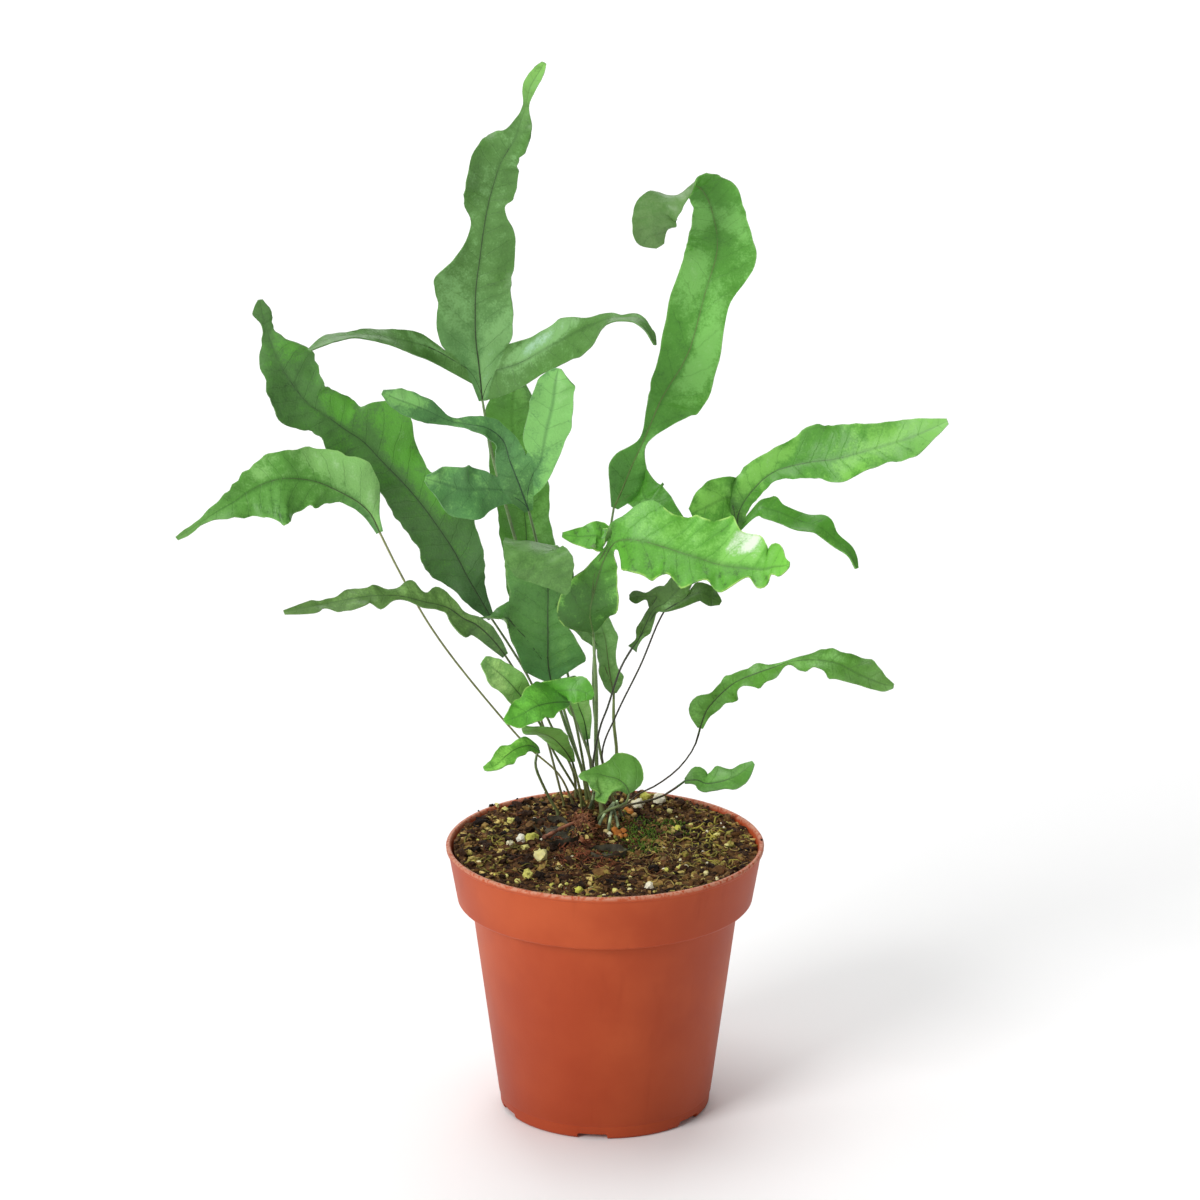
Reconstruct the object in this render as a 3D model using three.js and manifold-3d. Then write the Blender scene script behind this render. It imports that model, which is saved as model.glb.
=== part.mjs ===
// Potted blue star fern: a stepped nursery pot filled with soil, a creeping rhizome and twenty fronds.
// Millimetres, +Z up, origin at the middle of the pot's foot, the front of the plant towards -Y.

import * as THREE from 'three';
import { mergeVertices } from 'three/addons/utils/BufferGeometryUtils.js';
import Module from 'manifold-3d';

const wasm = await Module();
wasm.setup();

// Driving dimensions of the pot
const potHeight = 92;
const rimRadius = 53;
const collarBottomRadius = 49.3;
const collarHeight = 19.5;
const bodyTopRadius = 44.7;
const footRadius = 35.3;
const footStepHeight = 4.8;
const wall = 1.3;
const floorTop = 3;
const potSides = 44;
const notchCount = 6;
const notchFirstAngle = -7;
const notchWidth = 10;
const notchHeight = 1.7;
const notchInnerRadius = 19;
const drainRadius = 4;
const drainCircle = 25;

// Driving dimensions of the soil
const soilLevel = 89.3;
const soilEdgeDrop = 0.9;
const soilRings = 9;
const gap = 0.3;
const crown = { x: 0, y: 42, radius: 24, height: 1.4 };
const hollow = { x: 4, y: 4, radius: 8, depth: 2.2 };
const slab = { x: -19, y: 22, radius: 9, height: 1.4 };

// Driving dimensions of the plant
const bladeThickness = 0.8;
const stipeRadius = 0.8;
const stipeTipRadius = 0.42;
const stipeSides = 6;
const stipeStep = 15;
const rootDepth = 9;
const stipeUpright = 2.3;
const finestDetail = 0.02;
const stipeSink = 0.16;
const rowStep = 4.4;
const rhizomeRadius = 3.2;

const tau = 2 * Math.PI;

// Solids from triangles, and back
function solidFrom(positions, triangles) {
  const mesh = new wasm.Mesh({
    numProp: 3,
    vertProperties: Float32Array.from(positions),
    triVerts: Uint32Array.from(triangles),
  });
  const solid = new wasm.Manifold(mesh);
  return solid;
}

function solidFromGeometry(geometry) {
  geometry.deleteAttribute('normal');
  geometry.deleteAttribute('uv');
  const merged = mergeVertices(geometry, 1e-4);
  return solidFrom(merged.attributes.position.array, merged.index.array);
}

function meshFrom(solid, name, material) {
  const { vertProperties, triVerts } = solid.getMesh();
  const geometry = new THREE.BufferGeometry();
  geometry.setAttribute('position', new THREE.BufferAttribute(Float32Array.from(vertProperties), 3));
  geometry.setIndex(new THREE.BufferAttribute(Uint32Array.from(triVerts), 1));
  geometry.computeVertexNormals();
  const mesh = new THREE.Mesh(geometry, material);
  mesh.name = name;
  return mesh;
}

function finish(colour, roughness) {
  return new THREE.MeshStandardMaterial({ color: colour, roughness, metalness: 0 });
}

// A profile of [radius, height] pairs turned about the vertical axis
function turned(profile, sides) {
  const points = profile.map(([radius, height]) => new THREE.Vector2(radius, height));
  const geometry = new THREE.LatheGeometry(points, sides);
  geometry.rotateX(Math.PI / 2);
  return geometry;
}

// A smooth curve of rows of numbers, read at a fraction from 0 to 1
function readAlong(rows, fraction) {
  const place = Math.min(Math.max(fraction, 0), 1) * (rows.length - 1);
  const k = Math.min(Math.floor(place), rows.length - 2);
  const t = place - k;
  const before = rows[Math.max(k - 1, 0)];
  const after = rows[Math.min(k + 2, rows.length - 1)];
  return rows[k].map((start, c) => {
    const end = rows[k + 1][c];
    const slopeIn = (end - before[c]) / 2;
    const slopeOut = (after[c] - start) / 2;
    const t2 = t * t;
    const t3 = t2 * t;
    return (2 * t3 - 3 * t2 + 1) * start + (t3 - 2 * t2 + t) * slopeIn
      + (3 * t2 - 2 * t3) * end + (t3 - t2) * slopeOut;
  });
}

function readStraight(rows, fraction) {
  const place = Math.min(Math.max(fraction, 0), 1) * (rows.length - 1);
  const k = Math.min(Math.floor(place), Math.max(rows.length - 2, 0));
  const next = rows[Math.min(k + 1, rows.length - 1)];
  return rows[k].map((start, c) => start + (next[c] - start) * (place - k));
}

function pointAlong(rows, fraction) {
  const [x, y, z] = readAlong(rows, fraction);
  return new THREE.Vector3(x, y, z);
}

function lengthOf(rows) {
  let length = 0;
  for (let k = 1; k < rows.length; k += 1) {
    const steps = [0, 1, 2].map((axis) => rows[k][axis] - rows[k - 1][axis]);
    length += Math.hypot(...steps);
  }
  return length;
}

function smooth(from, to, value) {
  const t = Math.min(Math.max((value - from) / (to - from), 0), 1);
  return t * t * (3 - 2 * t);
}

// A closed tube through points, with a radius for each fraction of its length
function tube(points, sides, radiusAt) {
  const positions = [];
  const triangles = [];
  const last = points.length - 1;
  let side = new THREE.Vector3(1, 0, 0);
  points.forEach((point, k) => {
    const tangent = points[Math.min(k + 1, last)].clone().sub(points[Math.max(k - 1, 0)]).normalize();
    side = side.clone().addScaledVector(tangent, -side.dot(tangent)).normalize();
    const up = tangent.clone().cross(side);
    for (let s = 0; s < sides; s += 1) {
      const angle = (s / sides) * tau;
      const radius = radiusAt(k / last, angle);
      const corner = point.clone().addScaledVector(side, radius * Math.cos(angle));
      positions.push(...corner.addScaledVector(up, radius * Math.sin(angle)).toArray());
    }
  });
  for (let k = 0; k < last; k += 1) {
    for (let s = 0; s < sides; s += 1) {
      const a = k * sides + s;
      const b = k * sides + ((s + 1) % sides);
      triangles.push(a, b, b + sides, a, b + sides, a + sides);
    }
  }
  for (let s = 1; s < sides - 1; s += 1) {
    triangles.push(0, s + 1, s);
    triangles.push(last * sides, last * sides + s, last * sides + s + 1);
  }
  return solidFrom(positions, triangles);
}

// A frond's blade and its lobes: one sheet of four-sided cells, thickened afterwards
function frameOn(strip, fraction) {
  const step = 0.004;
  const ahead = pointAlong(strip.rows, Math.min(fraction + step, 1));
  const behind = pointAlong(strip.rows, Math.max(fraction - step, 0));
  const along = ahead.sub(behind).normalize();
  const face = new THREE.Vector3(...readStraight(strip.face, fraction));
  face.addScaledVector(along, -face.dot(along)).normalize();
  return { face, side: along.clone().cross(face) };
}

function stripPoint(strip, fraction, across) {
  const [x, y, z, left, right] = readAlong(strip.rows, fraction);
  const { face, side } = frameOn(strip, fraction);
  const half = Math.max(across < 0 ? left : right, 0.6);
  const edge = Math.abs(across);
  const fade = smooth(0, 0.12, fraction) * smooth(1, 0.9, fraction);
  const turn = tau * strip.waves * fraction + strip.phase + (across < 0 ? 0 : 2.3);
  const ripple = strip.lift * fade * Math.min(half / 6, 1) * Math.sin(turn) * edge * edge;
  const reach = half * (1 + strip.scallop * fade * Math.cos(turn) * edge);
  const cup = THREE.MathUtils.degToRad(strip.cup);
  const point = new THREE.Vector3(x, y, z);
  point.addScaledVector(side, across * reach * Math.cos(cup));
  return point.addScaledVector(face, edge * reach * Math.sin(cup) + ripple);
}

function lobePoint(lobe, blade, fraction, across) {
  const [from, to] = lobe.span;
  const rootAt = from + ((to - from) * (1 - lobe.side * across)) / 2;
  const root = stripPoint(blade, rootAt, lobe.side);
  const start = pointAlong(lobe.rows, 0);
  const carried = root.add(pointAlong(lobe.rows, fraction)).sub(start);
  return carried.lerp(stripPoint(lobe, fraction, across), smooth(0, lobe.blend, fraction));
}

const bladeDefaults = {
  columns: 4, waves: 5, lift: 1.2, phase: 0, scallop: 0.05, cup: 8, face: [[0, -1, 0.3]],
};
const lobeDefaults = {
  waves: 3, lift: 0.7, phase: 1, scallop: 0.04, cup: 6, face: [[0, -1, 0.4]], blend: 0.4,
};

function lobeFrom(description, blade) {
  const lobe = { ...lobeDefaults, ...description };
  const [from, to] = lobe.span;
  const middle = stripPoint(blade, (from + to) / 2, lobe.side);
  const lower = stripPoint(blade, from, lobe.side);
  const upper = stripPoint(blade, to, lobe.side);
  const halfSpan = lower.distanceTo(upper) / 2;
  lobe.rows = [[...middle.toArray(), halfSpan, halfSpan], ...lobe.rows];
  return lobe;
}

function sheetOf(frond) {
  const blade = { ...bladeDefaults, ...frond.blade };
  const points = [];
  const cells = [];
  const rows = Math.max(7, Math.round(lengthOf(blade.rows) / rowStep));
  for (let i = 0; i <= rows; i += 1) {
    for (let j = 0; j <= blade.columns; j += 1) {
      points.push(stripPoint(blade, i / rows, (2 * j) / blade.columns - 1));
    }
  }
  const at = (i, j) => i * (blade.columns + 1) + j;
  for (let i = 0; i < rows; i += 1) {
    for (let j = 0; j < blade.columns; j += 1) {
      cells.push([at(i, j), at(i, j + 1), at(i + 1, j + 1), at(i + 1, j)]);
    }
  }
  (frond.lobes ?? []).forEach((description) => {
    const first = Math.round(description.span[0] * rows);
    const columns = Math.max(2, Math.round(description.span[1] * rows) - first);
    const lobe = lobeFrom({ ...description, span: [first / rows, (first + columns) / rows] }, blade);
    const lines = Math.max(4, Math.round(lengthOf(lobe.rows) / rowStep));
    const edge = lobe.side < 0 ? 0 : blade.columns;
    let inner = [];
    for (let b = 0; b <= columns; b += 1) {
      inner.push(at(first + b, edge));
    }
    for (let k = 1; k <= lines; k += 1) {
      const outer = [];
      for (let b = 0; b <= columns; b += 1) {
        outer.push(points.length);
        points.push(lobePoint(lobe, blade, k / lines, lobe.side * (1 - (2 * b) / columns)));
      }
      for (let b = 0; b < columns; b += 1) {
        const cell = [inner[b], outer[b], outer[b + 1], inner[b + 1]];
        cells.push(lobe.side > 0 ? cell : cell.reverse());
      }
      inner = outer;
    }
  });
  return { points, cells };
}

function thickened({ points, cells }) {
  const normals = points.map(() => new THREE.Vector3());
  cells.forEach((cell) => {
    const diagonal = points[cell[2]].clone().sub(points[cell[0]]);
    const normal = diagonal.cross(points[cell[3]].clone().sub(points[cell[1]]));
    cell.forEach((corner) => normals[corner].add(normal));
  });
  const positions = [];
  [0.5, -0.5].forEach((part) => {
    points.forEach((point, k) => {
      const offset = normals[k].clone().normalize().multiplyScalar(part * bladeThickness);
      positions.push(...offset.add(point).toArray());
    });
  });
  const count = points.length;
  const triangles = [];
  const open = new Map();
  cells.forEach(([a, b, c, d]) => {
    triangles.push(a, b, c, a, c, d);
    triangles.push(count + a, count + c, count + b, count + a, count + d, count + c);
    [[a, b], [b, c], [c, d], [d, a]].forEach(([from, to]) => {
      if (!open.delete(`${to} ${from}`)) {
        open.set(`${from} ${to}`, [from, to]);
      }
    });
  });
  open.forEach(([from, to]) => {
    triangles.push(from, count + from, count + to, from, count + to, to);
  });
  return solidFrom(positions, triangles);
}

// The stipe's line: straight up out of its hole in the soil, then in a free curve to the blade
function stipeLine(frond) {
  const [x, y] = frond.root;
  const buried = soilLevel - rootDepth;
  const free = [[x, y, soilLevel + stipeUpright], ...frond.stipe, frond.blade.rows[0].slice(0, 3)];
  const steps = Math.max(5, Math.round(lengthOf(free) / stipeStep));
  const points = [new THREE.Vector3(x, y, buried)];
  for (let k = 0; k <= steps; k += 1) {
    points.push(pointAlong(free, k / steps));
  }
  return points;
}

function stipeOf(frond) {
  const points = stipeLine(frond);
  const inBlade = 3;
  for (let k = 1; k <= inBlade; k += 1) {
    points.push(pointAlong(frond.blade.rows, (k / inBlade) * stipeSink));
  }
  const sunkFrom = 1 - (inBlade + 1) / (points.length - 1);
  return tube(points, stipeSides, (f) => stipeRadius
    + (stipeTipRadius - stipeRadius) * smooth(sunkFrom, 1, f));
}

function stipeHole(frond) {
  const [x, y] = frond.root;
  const bottom = new THREE.Vector3(x, y, soilLevel - rootDepth - gap);
  const top = new THREE.Vector3(x, y, soilLevel + 6);
  return tube([bottom, top], 8, () => stipeRadius + gap + 0.1);
}

function frondSolid(frond) {
  return thickened(sheetOf(frond)).add(stipeOf(frond)).simplify(finestDetail);
}

// The fronds. A row of a blade is [x, y, z, left half width, right half width], base to tip,
// and face is the way the upper side looks, spread evenly from base to tip.
const paleGreen = 0x78b65f;
const midGreen = 0x5f9a48;
const deepGreen = 0x48763a;
const blueGreen = 0x568a5e;

const fronds = [
  {
    name: 'frond_tall',
    colour: blueGreen,
    root: [-5, 45],
    stipe: [[-15, 40, 129], [-28, 36, 179], [-37, 32, 215]],
    blade: {
      rows: [
        [-40.5, 30, 236, 1.2, 1.2], [-41.5, 29, 248, 5, 6.5], [-42.5, 28, 258, 12.5, 11.5],
        [-42.5, 27, 270, 12, 12.5], [-42, 26.5, 277, 13.5, 12], [-41, 26, 284, 9, 11.5],
        [-39.5, 25.5, 295, 4.5, 9.7], [-38, 25, 303, 8, 5.5], [-36.5, 24, 309, 9, 8],
        [-34, 22, 317, 10, 6.5], [-31.5, 21, 321.5, 9, 4.3], [-29, 19, 326, 5, 6],
        [-27.5, 17.5, 331, 2, 5.5], [-25.5, 16, 337, 1.1, 1.2], [-24, 14.5, 343.5, 2.6, 2],
        [-21, 13, 349, 2.2, 1.7], [-19.5, 12, 352, 0.8, 0.8],
      ],
      face: [[0, -1, 0.2], [0, -1, 0.3], [0.2, -1, 0.2], [-0.4, -0.8, 0.2], [0.1, -1, 0.1]],
      waves: 4,
      phase: 1,
      cup: 10,
    },
    lobes: [
      {
        side: -1,
        span: [0.02, 0.09],
        rows: [
          [-57, 25, 255, 5, 4.5], [-67, 18, 259.5, 4.5, 4.5], [-76, 12, 262.5, 3.2, 3],
          [-82, 7, 263.5, 2, 2], [-89, 1, 264, 2.7, 2.3], [-95, -6, 262, 0.7, 0.7],
        ],
        face: [[0, -0.9, 0.5], [0, -0.5, 0.85], [0, -0.3, 1]],
      },
      {
        side: 1,
        span: [0.01, 0.1],
        rows: [
          [-28, 25, 250, 7.5, 7.5], [-20, 21, 255.5, 7, 8], [-12, 17, 261, 6.5, 10],
          [-5, 13, 265.5, 3.5, 10.5], [1, 10, 268.5, 2.6, 7.5], [5.5, 7, 269.5, 1.2, 2.6],
          [10.5, 4, 270, 2.5, 3], [14, 0, 267, 2.5, 2.6], [16, -3, 263, 0.7, 0.7],
        ],
        face: [[0, -0.9, 0.5], [0.2, -0.7, 0.7], [0.3, -0.5, 0.8], [0.8, -0.4, 0.6]],
      },
    ],
  },
  {
    name: 'frond_curled',
    colour: paleGreen,
    root: [4, 45],
    stipe: [[-1, 46, 105], [-4, 50, 129], [-2, 52, 160], [1, 52, 180]],
    blade: {
      rows: [
        [3, 52, 193, 1, 1.5], [6, 52, 200, 5, 6], [9, 51, 208, 8, 5], [13, 50, 217, 1.6, 1.6],
        [18, 48, 230, 4, 10.5], [21, 47, 236, 6.5, 13], [28, 45, 249, 9.3, 11], [33, 43, 269, 10.4, 9.5],
        [36.5, 42.5, 281, 11, 12.5], [37, 42, 288, 9.5, 11.5], [36, 42, 294, 8, 11], [34, 41, 301, 6, 10],
        [31, 38, 306, 5, 7.5], [28, 33, 307.5, 4.5, 6], [25, 28.5, 306, 5, 5], [21, 25.5, 304.5, 5.5, 5.5],
        [17.5, 24, 302, 7, 7], [16, 24, 297.5, 7.5, 7.5], [16, 25, 293, 6.5, 5.5], [18, 26, 289, 1.5, 1.5],
      ],
      face: [
        [0.2, -1, 0.1], [0.3, -1, 0.1], [0, -1, 0.1], [0, -1, 0.1], [-0.1, -1, 0.1], [0, -1, 0.1],
        [0, -1, 0.1], [0, -1, 0], [0, -1, -0.2], [0, -0.2, -1], [-0.1, 0.8, -0.5], [-0.2, 1, 0],
        [-0.2, 1, 0],
      ],
      waves: 6,
      lift: 1,
    },
    lobes: [
      {
        side: 1,
        span: [0.02, 0.12],
        rows: [[14, 47, 197, 8, 5], [20, 44, 194, 5, 5], [27, 42, 190, 0.8, 0.8]],
        face: [[0, -1, 0.2]],
      },
    ],
  },
  {
    name: 'frond_front',
    colour: paleGreen,
    root: [-1, 33],
    stipe: [[-2, 32, 99], [-3, 28, 114], [-3, 19, 139]],
    blade: {
      rows: [
        [-4, 8, 163, 1.2, 1.2], [-5, 4, 171, 11.5, 7.5], [-3, 1, 181, 8, 8], [-1, -2, 189, 4, 5],
        [2, -5, 196, 1.6, 1.6], [5, -8, 199, 7, 7], [11.5, -12, 200, 12.5, 12],
        [19.5, -15, 198.5, 12.5, 12], [24, -17, 197.5, 13, 10.5], [29, -19, 196.5, 14.5, 12],
        [35, -21, 195, 16.5, 8], [40, -23, 194.5, 15, 10], [47, -26, 194.5, 11, 5],
        [51, -28, 195, 8.5, 7.5], [54, -29, 196, 8.5, 3.8], [57, -31, 197, 4, 4], [59, -32, 198, 1, 1],
      ],
      face: [
        [0, -1, 0.1], [0, -1, 0.2], [0.1, -1, 0.4], [0, -0.7, 0.7], [0, -0.7, 0.7], [0.1, -0.6, 0.8],
        [0.1, -0.6, 0.8],
      ],
      waves: 8,
      lift: 0.9,
      scallop: 0.09,
    },
    lobes: [
      {
        side: -1,
        span: [0.29, 0.37],
        rows: [
          [0, -6, 199.5, 4.5, 4.5], [-3, -6, 200, 5.2, 5], [-8, -5.5, 199.5, 3.6, 3.4],
          [-14, -5, 200, 0.8, 0.8],
        ],
        face: [[0, -0.8, 0.6]],
      },
    ],
  },
  {
    name: 'frond_nodding',
    colour: deepGreen,
    root: [-6, 42],
    stipe: [[-8, 38, 105], [-13, 30, 122]],
    blade: {
      rows: [
        [-18, 22, 141, 1.2, 1.2], [-19, 20, 148, 9, 12], [-19, 18, 157, 12, 9.5], [-19, 16, 166, 13, 6],
        [-19, 13, 178, 13.5, 8.5], [-21, 9, 188, 12, 8.5], [-24, 1, 196, 9.5, 8.5], [-23, -8, 195, 10, 9],
        [-20, -11, 191, 7.5, 10], [-16, -11, 186, 3.5, 7.5], [-12, -11, 182, 1, 1],
      ],
      face: [
        [0, -1, 0.1], [0, -1, 0.1], [0, -1, 0.2], [0, -1, 0.1], [0, -1, 0], [0, -0.9, -0.4],
        [-0.2, -0.4, -1], [-0.2, 0.6, -0.9], [0, 1, -0.2], [0, 1, 0], [0, 1, 0],
      ],
      waves: 4,
      lift: 0.8,
      cup: 4,
    },
    lobes: [
      {
        side: -1,
        span: [0.26, 0.34],
        rows: [[-37, 10, 167, 2.5, 2.5], [-43, 4, 169, 0.8, 0.8]],
        face: [[0, -0.2, 0.9], [0, 0.45, 0.9]],
      },
    ],
  },
  {
    name: 'frond_strap',
    colour: midGreen,
    root: [-1, 45.5],
    stipe: [[-5, 48, 105], [-14, 51, 129]],
    blade: {
      rows: [
        [-20, 52, 146, 1.2, 1.2], [-23, 52, 160, 8, 8], [-26, 52, 175, 8.5, 9], [-27, 52, 189, 9, 9],
        [-29, 51, 203, 9, 9], [-31, 50, 219, 9, 9], [-31, 49, 231, 8, 8], [-29, 47, 240, 2, 2],
      ],
      face: [[0, -1, 0.2], [0.1, -1, 0.1], [0, -1, 0.2]],
      waves: 5,
      lift: 0.9,
    },
  },
  {
    name: 'frond_blue',
    colour: blueGreen,
    root: [1, 42],
    stipe: [[-2, 42, 96], [-9, 38, 123], [-17, 25, 163], [-22, 13, 190]],
    blade: {
      rows: [
        [-25, 6, 205, 1.4, 1.4], [-28, 2, 215, 6, 5], [-31, -1, 224, 4.5, 6], [-33, -3, 231, 3.5, 4],
        [-38, -6, 236, 3.5, 3.5], [-44, -9, 238, 3.5, 3.5], [-50, -12, 240, 1.8, 1.8],
        [-58, -16, 245, 4, 4], [-66, -19, 249, 3.5, 3.5], [-71, -21, 252, 0.8, 0.8],
      ],
      face: [
        [0, -1, 0.2], [0, -1, 0.2], [0, -0.8, 0.6], [-0.2, -0.5, 0.9], [-0.2, -0.9, 0.4], [0, -1, 0.3],
      ],
      waves: 4,
      lift: 0.6,
    },
    lobes: [
      {
        side: -1,
        span: [0.05, 0.2],
        rows: [[-39, -3, 215, 9, 6.5], [-46, -7, 216, 9.7, 7.7], [-53, -10, 219, 5.5, 5.5],
          [-58, -12, 221, 1, 1]],
        face: [[0, -1, 0.2]],
      },
      {
        side: 1,
        span: [0.06, 0.22],
        rows: [[-21, -2, 224, 7, 6.5], [-19, -5, 235, 7.3, 7.3], [-17, -7, 244, 7, 7],
          [-16, -9, 252, 6, 6], [-15, -10, 257, 1, 1]],
        face: [[0, -1, 0.2]],
      },
    ],
  },
  {
    name: 'frond_broad_left',
    colour: midGreen,
    root: [-10, 45],
    stipe: [[-11, 43.5, 102], [-19, 40, 121], [-26, 34, 139], [-32, 30, 151]],
    blade: {
      rows: [
        [-38, 26, 162, 1.2, 1.2], [-42, 24, 170, 4.5, 3], [-46, 22, 178, 8, 6],
        [-50, 20, 187, 10.5, 10.5], [-55, 17, 196, 10, 12.5], [-60, 15, 204, 9.5, 11.5],
        [-66, 13.5, 212, 8, 10.5], [-73, 12, 220, 8, 13], [-79, 11, 227, 9.5, 16.5],
        [-85, 10, 231.5, 9.5, 10.5], [-90.5, 9, 236, 7, 8.5], [-97, 8, 241, 9.5, 8],
        [-102, 7, 248, 9, 11], [-106, 5, 256, 6.5, 10], [-108.5, 4, 263.5, 2.5, 4],
        [-109.5, 3, 268, 1.3, 2.4], [-110.5, 2, 272.5, 3.2, 3], [-111, 1, 277, 0.8, 0.8],
      ],
      face: [[0.1, -1, 0.3], [0, -1, 0.2], [0.1, -1, 0.3], [0.1, -1, 0.2]],
      waves: 6,
      lift: 1.6,
      scallop: 0.08,
    },
  },
  {
    name: 'frond_torn_left',
    colour: paleGreen,
    root: [-11, 40],
    stipe: [[-16, 38, 103], [-28, 34, 116], [-46, 24, 142], [-58, 14, 163], [-67, 6, 183]],
    blade: {
      rows: [
        [-73.5, -2, 200, 1.2, 1.2], [-76, -3, 206, 2.2, 3], [-79.5, -5, 210.5, 2.5, 9],
        [-84, -7, 214, 3, 12.5], [-88.5, -9, 217, 5.5, 12.5], [-93, -11, 219.5, 8.5, 11.5],
        [-98, -13, 221, 10.5, 9.5], [-103.5, -16, 222, 13, 8.5], [-107, -17, 221.5, 15.5, 9],
        [-110.5, -18, 220.5, 14.5, 6.5], [-115, -20, 218.5, 10, 5.5], [-119, -22, 216, 6, 3.5],
        [-124, -24, 213.5, 3.3, 2.8], [-129, -26, 210.5, 1, 1.2], [-133.5, -28, 208, 1.5, 1],
        [-137, -30, 206, 0.7, 0.7],
      ],
      face: [[0, -1, 0.2], [0, -1, 0.3], [0, -0.9, 0.5], [0, -0.9, 0.4], [0, -0.9, 0.4]],
      waves: 4,
      lift: 1.3,
    },
  },
  {
    name: 'frond_narrow_left',
    colour: midGreen,
    root: [-14, 37],
    stipe: [[-15, 36, 97], [-22, 28, 127], [-29, 16, 145]],
    blade: {
      rows: [
        [-33, 4, 156, 1.2, 1.2], [-37, 2, 162, 2.8, 2.6], [-42, 0, 167.5, 3.6, 3],
        [-46.5, -2, 170.5, 6, 2.2], [-51, -4, 174.5, 2.3, 3.6], [-55, -6, 176.5, 1.8, 6],
        [-59, -8, 178, 2.6, 3.4], [-64, -10, 180, 1.2, 6], [-68, -11, 181, 1.6, 3.4],
        [-73.5, -14, 182, 5, 3.8], [-77, -15, 182, 3, 3.4], [-81, -17, 182, 5, 4.4],
        [-87, -19, 181.5, 4.4, 1.8], [-91.5, -21, 181, 2, 1.8], [-95, -23, 181, 3, 2.2],
        [-103.5, -26, 180, 0.8, 0.8],
      ],
      face: [[0, -0.9, 0.5], [0, -0.7, 0.7], [0, -0.6, 0.8], [0, -0.6, 0.8]],
      waves: 6,
      lift: 0.8,
    },
  },
  {
    name: 'frond_low_left',
    colour: paleGreen,
    root: [-16, 31],
    stipe: [[-19, 28, 98], [-23, 21, 110], [-23, 14, 117]],
    blade: {
      rows: [
        [-22, 9, 121, 1, 1], [-25, 5, 124, 2.6, 3.2], [-29, 1, 124.5, 2.6, 3.4], [-33, -3, 123, 3.2, 3.2],
        [-36.5, -7, 121, 2.4, 2.6], [-40, -9, 121, 0.7, 0.7],
      ],
      columns: 2,
      face: [[0, -0.7, 0.7]],
      waves: 3,
      lift: 0.7,
      scallop: 0.12,
    },
  },
  {
    name: 'frond_oval',
    colour: paleGreen,
    root: [-7, 38],
    stipe: [[-10, 34, 99], [-17, 24, 115], [-22, 15, 129]],
    blade: {
      rows: [
        [-24.5, 9, 134.5, 1, 1], [-27, 6, 140, 4, 4], [-32, 1, 148, 4.7, 4.7], [-36.5, -3, 153.5, 4.2, 4.2],
        [-40, -6, 157.5, 1.6, 1.6],
      ],
      columns: 2,
      face: [[0, -0.9, 0.4]],
      waves: 1.5,
      lift: 0.5,
    },
  },
  {
    name: 'frond_bright',
    colour: paleGreen,
    root: [-4, 36],
    stipe: [[-6, 34, 100], [-8, 26, 115], [-10, 14, 130]],
    blade: {
      rows: [
        [-12, 6, 139, 1.2, 1.2], [-18, 2, 140, 5, 6.6], [-23, -2, 140, 5, 6.8], [-28, -5, 138, 4.5, 5],
        [-33, -8, 137, 1, 1],
      ],
      columns: 2,
      face: [[0, -0.8, 0.6]],
      waves: 2,
      lift: 0.8,
    },
    lobes: [
      {
        side: 1,
        span: [0.06, 0.3],
        rows: [[-12, 4, 144, 4, 4], [-8, 3, 144, 4.5, 4.5], [-4, 2, 142, 1, 1]],
        face: [[0, -0.9, 0.4]],
      },
    ],
  },
  {
    name: 'frond_drooping',
    colour: deepGreen,
    root: [-8, 33],
    stipe: [[-8, 31, 96], [-9, 28, 103]],
    blade: {
      rows: [
        [-11, 24, 112, 1, 1], [-14, 18, 119, 3, 3.5], [-18, 12, 125, 5, 5], [-23, 6, 129, 4.5, 4.5],
        [-27, 1, 132, 0.8, 0.8],
      ],
      columns: 2,
      face: [[0, 0.6, 0.8]],
      waves: 2,
      lift: 0.6,
    },
  },
  {
    name: 'frond_dark',
    colour: deepGreen,
    root: [-4, 38.5],
    stipe: [[-4, 37, 97], [-5, 37, 107]],
    blade: {
      rows: [
        [-6, 36, 116, 1, 1], [-7, 34, 123, 2.5, 2.5], [-9, 31, 130, 4, 4], [-10, 29, 136, 4.5, 4.5],
        [-11, 28, 141, 1, 1],
      ],
      columns: 2,
      face: [[0, -1, 0.3]],
      waves: 2,
      lift: 0.8,
    },
  },
  {
    name: 'frond_wavy',
    colour: midGreen,
    root: [4, 38],
    stipe: [[2, 38, 97], [4, 38, 109], [3, 36, 122]],
    blade: {
      rows: [
        [3, 34, 133, 1, 1], [2, 33, 138, 3, 4.5], [1, 31, 146, 3.5, 2.5], [0, 30, 154, 4, 4.5],
        [-2, 29, 160, 4, 3.5], [-4, 28, 166, 1, 1],
      ],
      columns: 2,
      face: [[0, -1, 0.2]],
      waves: 3,
      lift: 0.8,
    },
    lobes: [
      {
        side: -1,
        span: [0.55, 0.8],
        rows: [[-7, 27, 158, 3, 3], [-12, 25, 160, 0.8, 0.8]],
        face: [[0, -1, 0.2]],
      },
    ],
  },
  {
    name: 'frond_branched',
    colour: midGreen,
    root: [1, 28.5],
    stipe: [[-4, 23, 108], [-2, 20, 124], [1, 20, 133], [5, 19.5, 146]],
    blade: {
      rows: [
        [9, 18, 154, 1.5, 2], [11, 17, 157, 0.9, 0.9], [13, 15, 162, 2.4, 2.4], [16, 13, 169, 1.5, 1.8],
        [20, 11, 172, 4, 2.8], [25, 9, 178, 5, 3.5], [29, 7, 182, 1, 1],
      ],
      columns: 2,
      face: [[0, -1, 0.2], [0, -0.8, 0.5]],
      waves: 2,
      lift: 0.5,
    },
    lobes: [
      {
        side: 1,
        span: [0.6, 0.85],
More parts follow.
